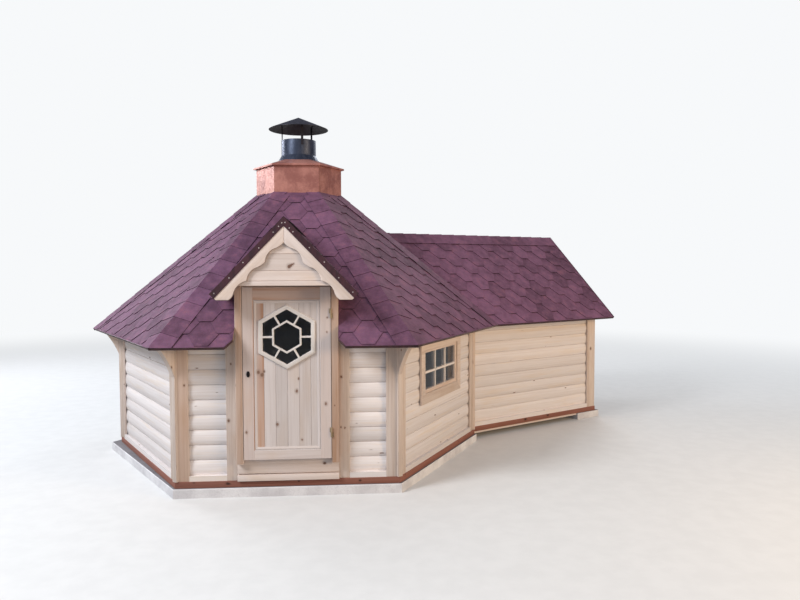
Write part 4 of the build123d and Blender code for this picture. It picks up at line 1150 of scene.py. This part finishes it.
camera = bpy.data.cameras.new("camera")
camera.sensor_width = SENSOR
camera.lens = SENSOR * FOCAL_LENGTH / IMAGE_W
view = add_object("camera", camera)
forward = Vector((sin(YAW) * cos(PITCH), cos(YAW) * cos(PITCH), -sin(PITCH)))
level_right = Vector((cos(YAW), -sin(YAW), 0))
level_up = level_right.cross(forward)
right = level_right * cos(ROLL) + level_up * sin(ROLL)
up = level_up * cos(ROLL) - level_right * sin(ROLL)
view.matrix_world = Matrix((*zip(right, up, -forward, EYE), (0, 0, 0, 1)))
scene.camera = view

# Pale floor that fades into the backdrop

BACKDROP = (0.95, 0.965, 0.98, 1), 0.98  # colour and strength
FLOOR_HALF = 40

floor_mesh = bpy.data.meshes.new("floor")
corners = rectangle(-FLOOR_HALF, FLOOR_HALF, -FLOOR_HALF, FLOOR_HALF)
floor_mesh.from_pydata([(x, y, 0) for x, y in corners], [], [(0, 1, 2, 3)])
ground = add_object("floor", floor_mesh)
g = Graph(bpy.data.materials.new("floor_pale"))
place = g.place()
tint = g.mix(g.steps(g.noise(place, 6.0), 0.3, 0.7), (0.73, 0.735, 0.74), (0.76, 0.765, 0.77))
shown_ray = g.node("LightPath").outputs["Is Camera Ray"]
tint = g.mix(shown_ray, (0.34, 0.33, 0.32), tint)
near = g.node("BsdfPrincipled", {"Base Color": tint, "Roughness": 0.9, "Specular IOR Level": 0.1})
far = g.node("Emission", dict(enumerate(BACKDROP)))
fade = g.times(g.steps(g.vector("LENGTH", place), 3.5, 16.0), shown_ray)
both = g.node("MixShader", {0: fade, 1: near.outputs[0], 2: far.outputs[0]})
g.node("OutputMaterial", {"Surface": both.outputs[0]})
coat(floor_mesh, g.owner)

# World: a soft fill, a darker one for metal and glass to mirror, and the backdrop that the camera sees

FILL = (0.88, 0.93, 1.0, 1), 0.52
MIRRORED = (0.46, 0.50, 0.66, 1), 0.4

scene.world = bpy.data.worlds.new("studio")
g = Graph(scene.world)
fill, mirrored, backdrop = (
    g.node("Background", dict(enumerate(light))).outputs[0] for light in (FILL, MIRRORED, BACKDROP)
)
path = g.node("LightPath").outputs
seen = g.math("MAXIMUM", path["Is Camera Ray"], path["Is Transmission Ray"])
lit = g.node("MixShader", {0: path["Is Glossy Ray"], 1: fill, 2: mirrored}).outputs[0]
g.node("OutputWorld", {0: g.node("MixShader", {0: seen, 1: lit, 2: backdrop}).outputs[0]})

# Lamps: place, aim, size, power and colour

for name, place, aim, size, power, colour in (
    ("key", (-6.5, -6.0, 7.5), (0, 0, 1.0), 3.6, 800, (0.97, 0.985, 1.0)),
    ("side", (8.0, -6.0, 2.6), (2.0, 0.0, 0.9), 3.0, 370, (1.0, 0.71, 0.42)),
    ("rim", (-7.5, 5.5, 5.5), (0, 0, 1.6), 4.0, 360, (0.96, 0.97, 1.0)),
    ("back", (4.5, 8.0, 6.5), (0.5, 0.5, 1.5), 4.0, 200, (0.98, 0.99, 1.0)),
):
    lamp = bpy.data.lights.new(name, "AREA")
    lamp.shape, lamp.size, lamp.energy, lamp.color = "DISK", size, power, colour
    made = add_object(name, lamp)
    made.location = place
    made.rotation_euler = (Vector(aim) - Vector(place)).to_track_quat("-Z", "Y").to_euler()

scene.view_settings.view_transform = "Standard"
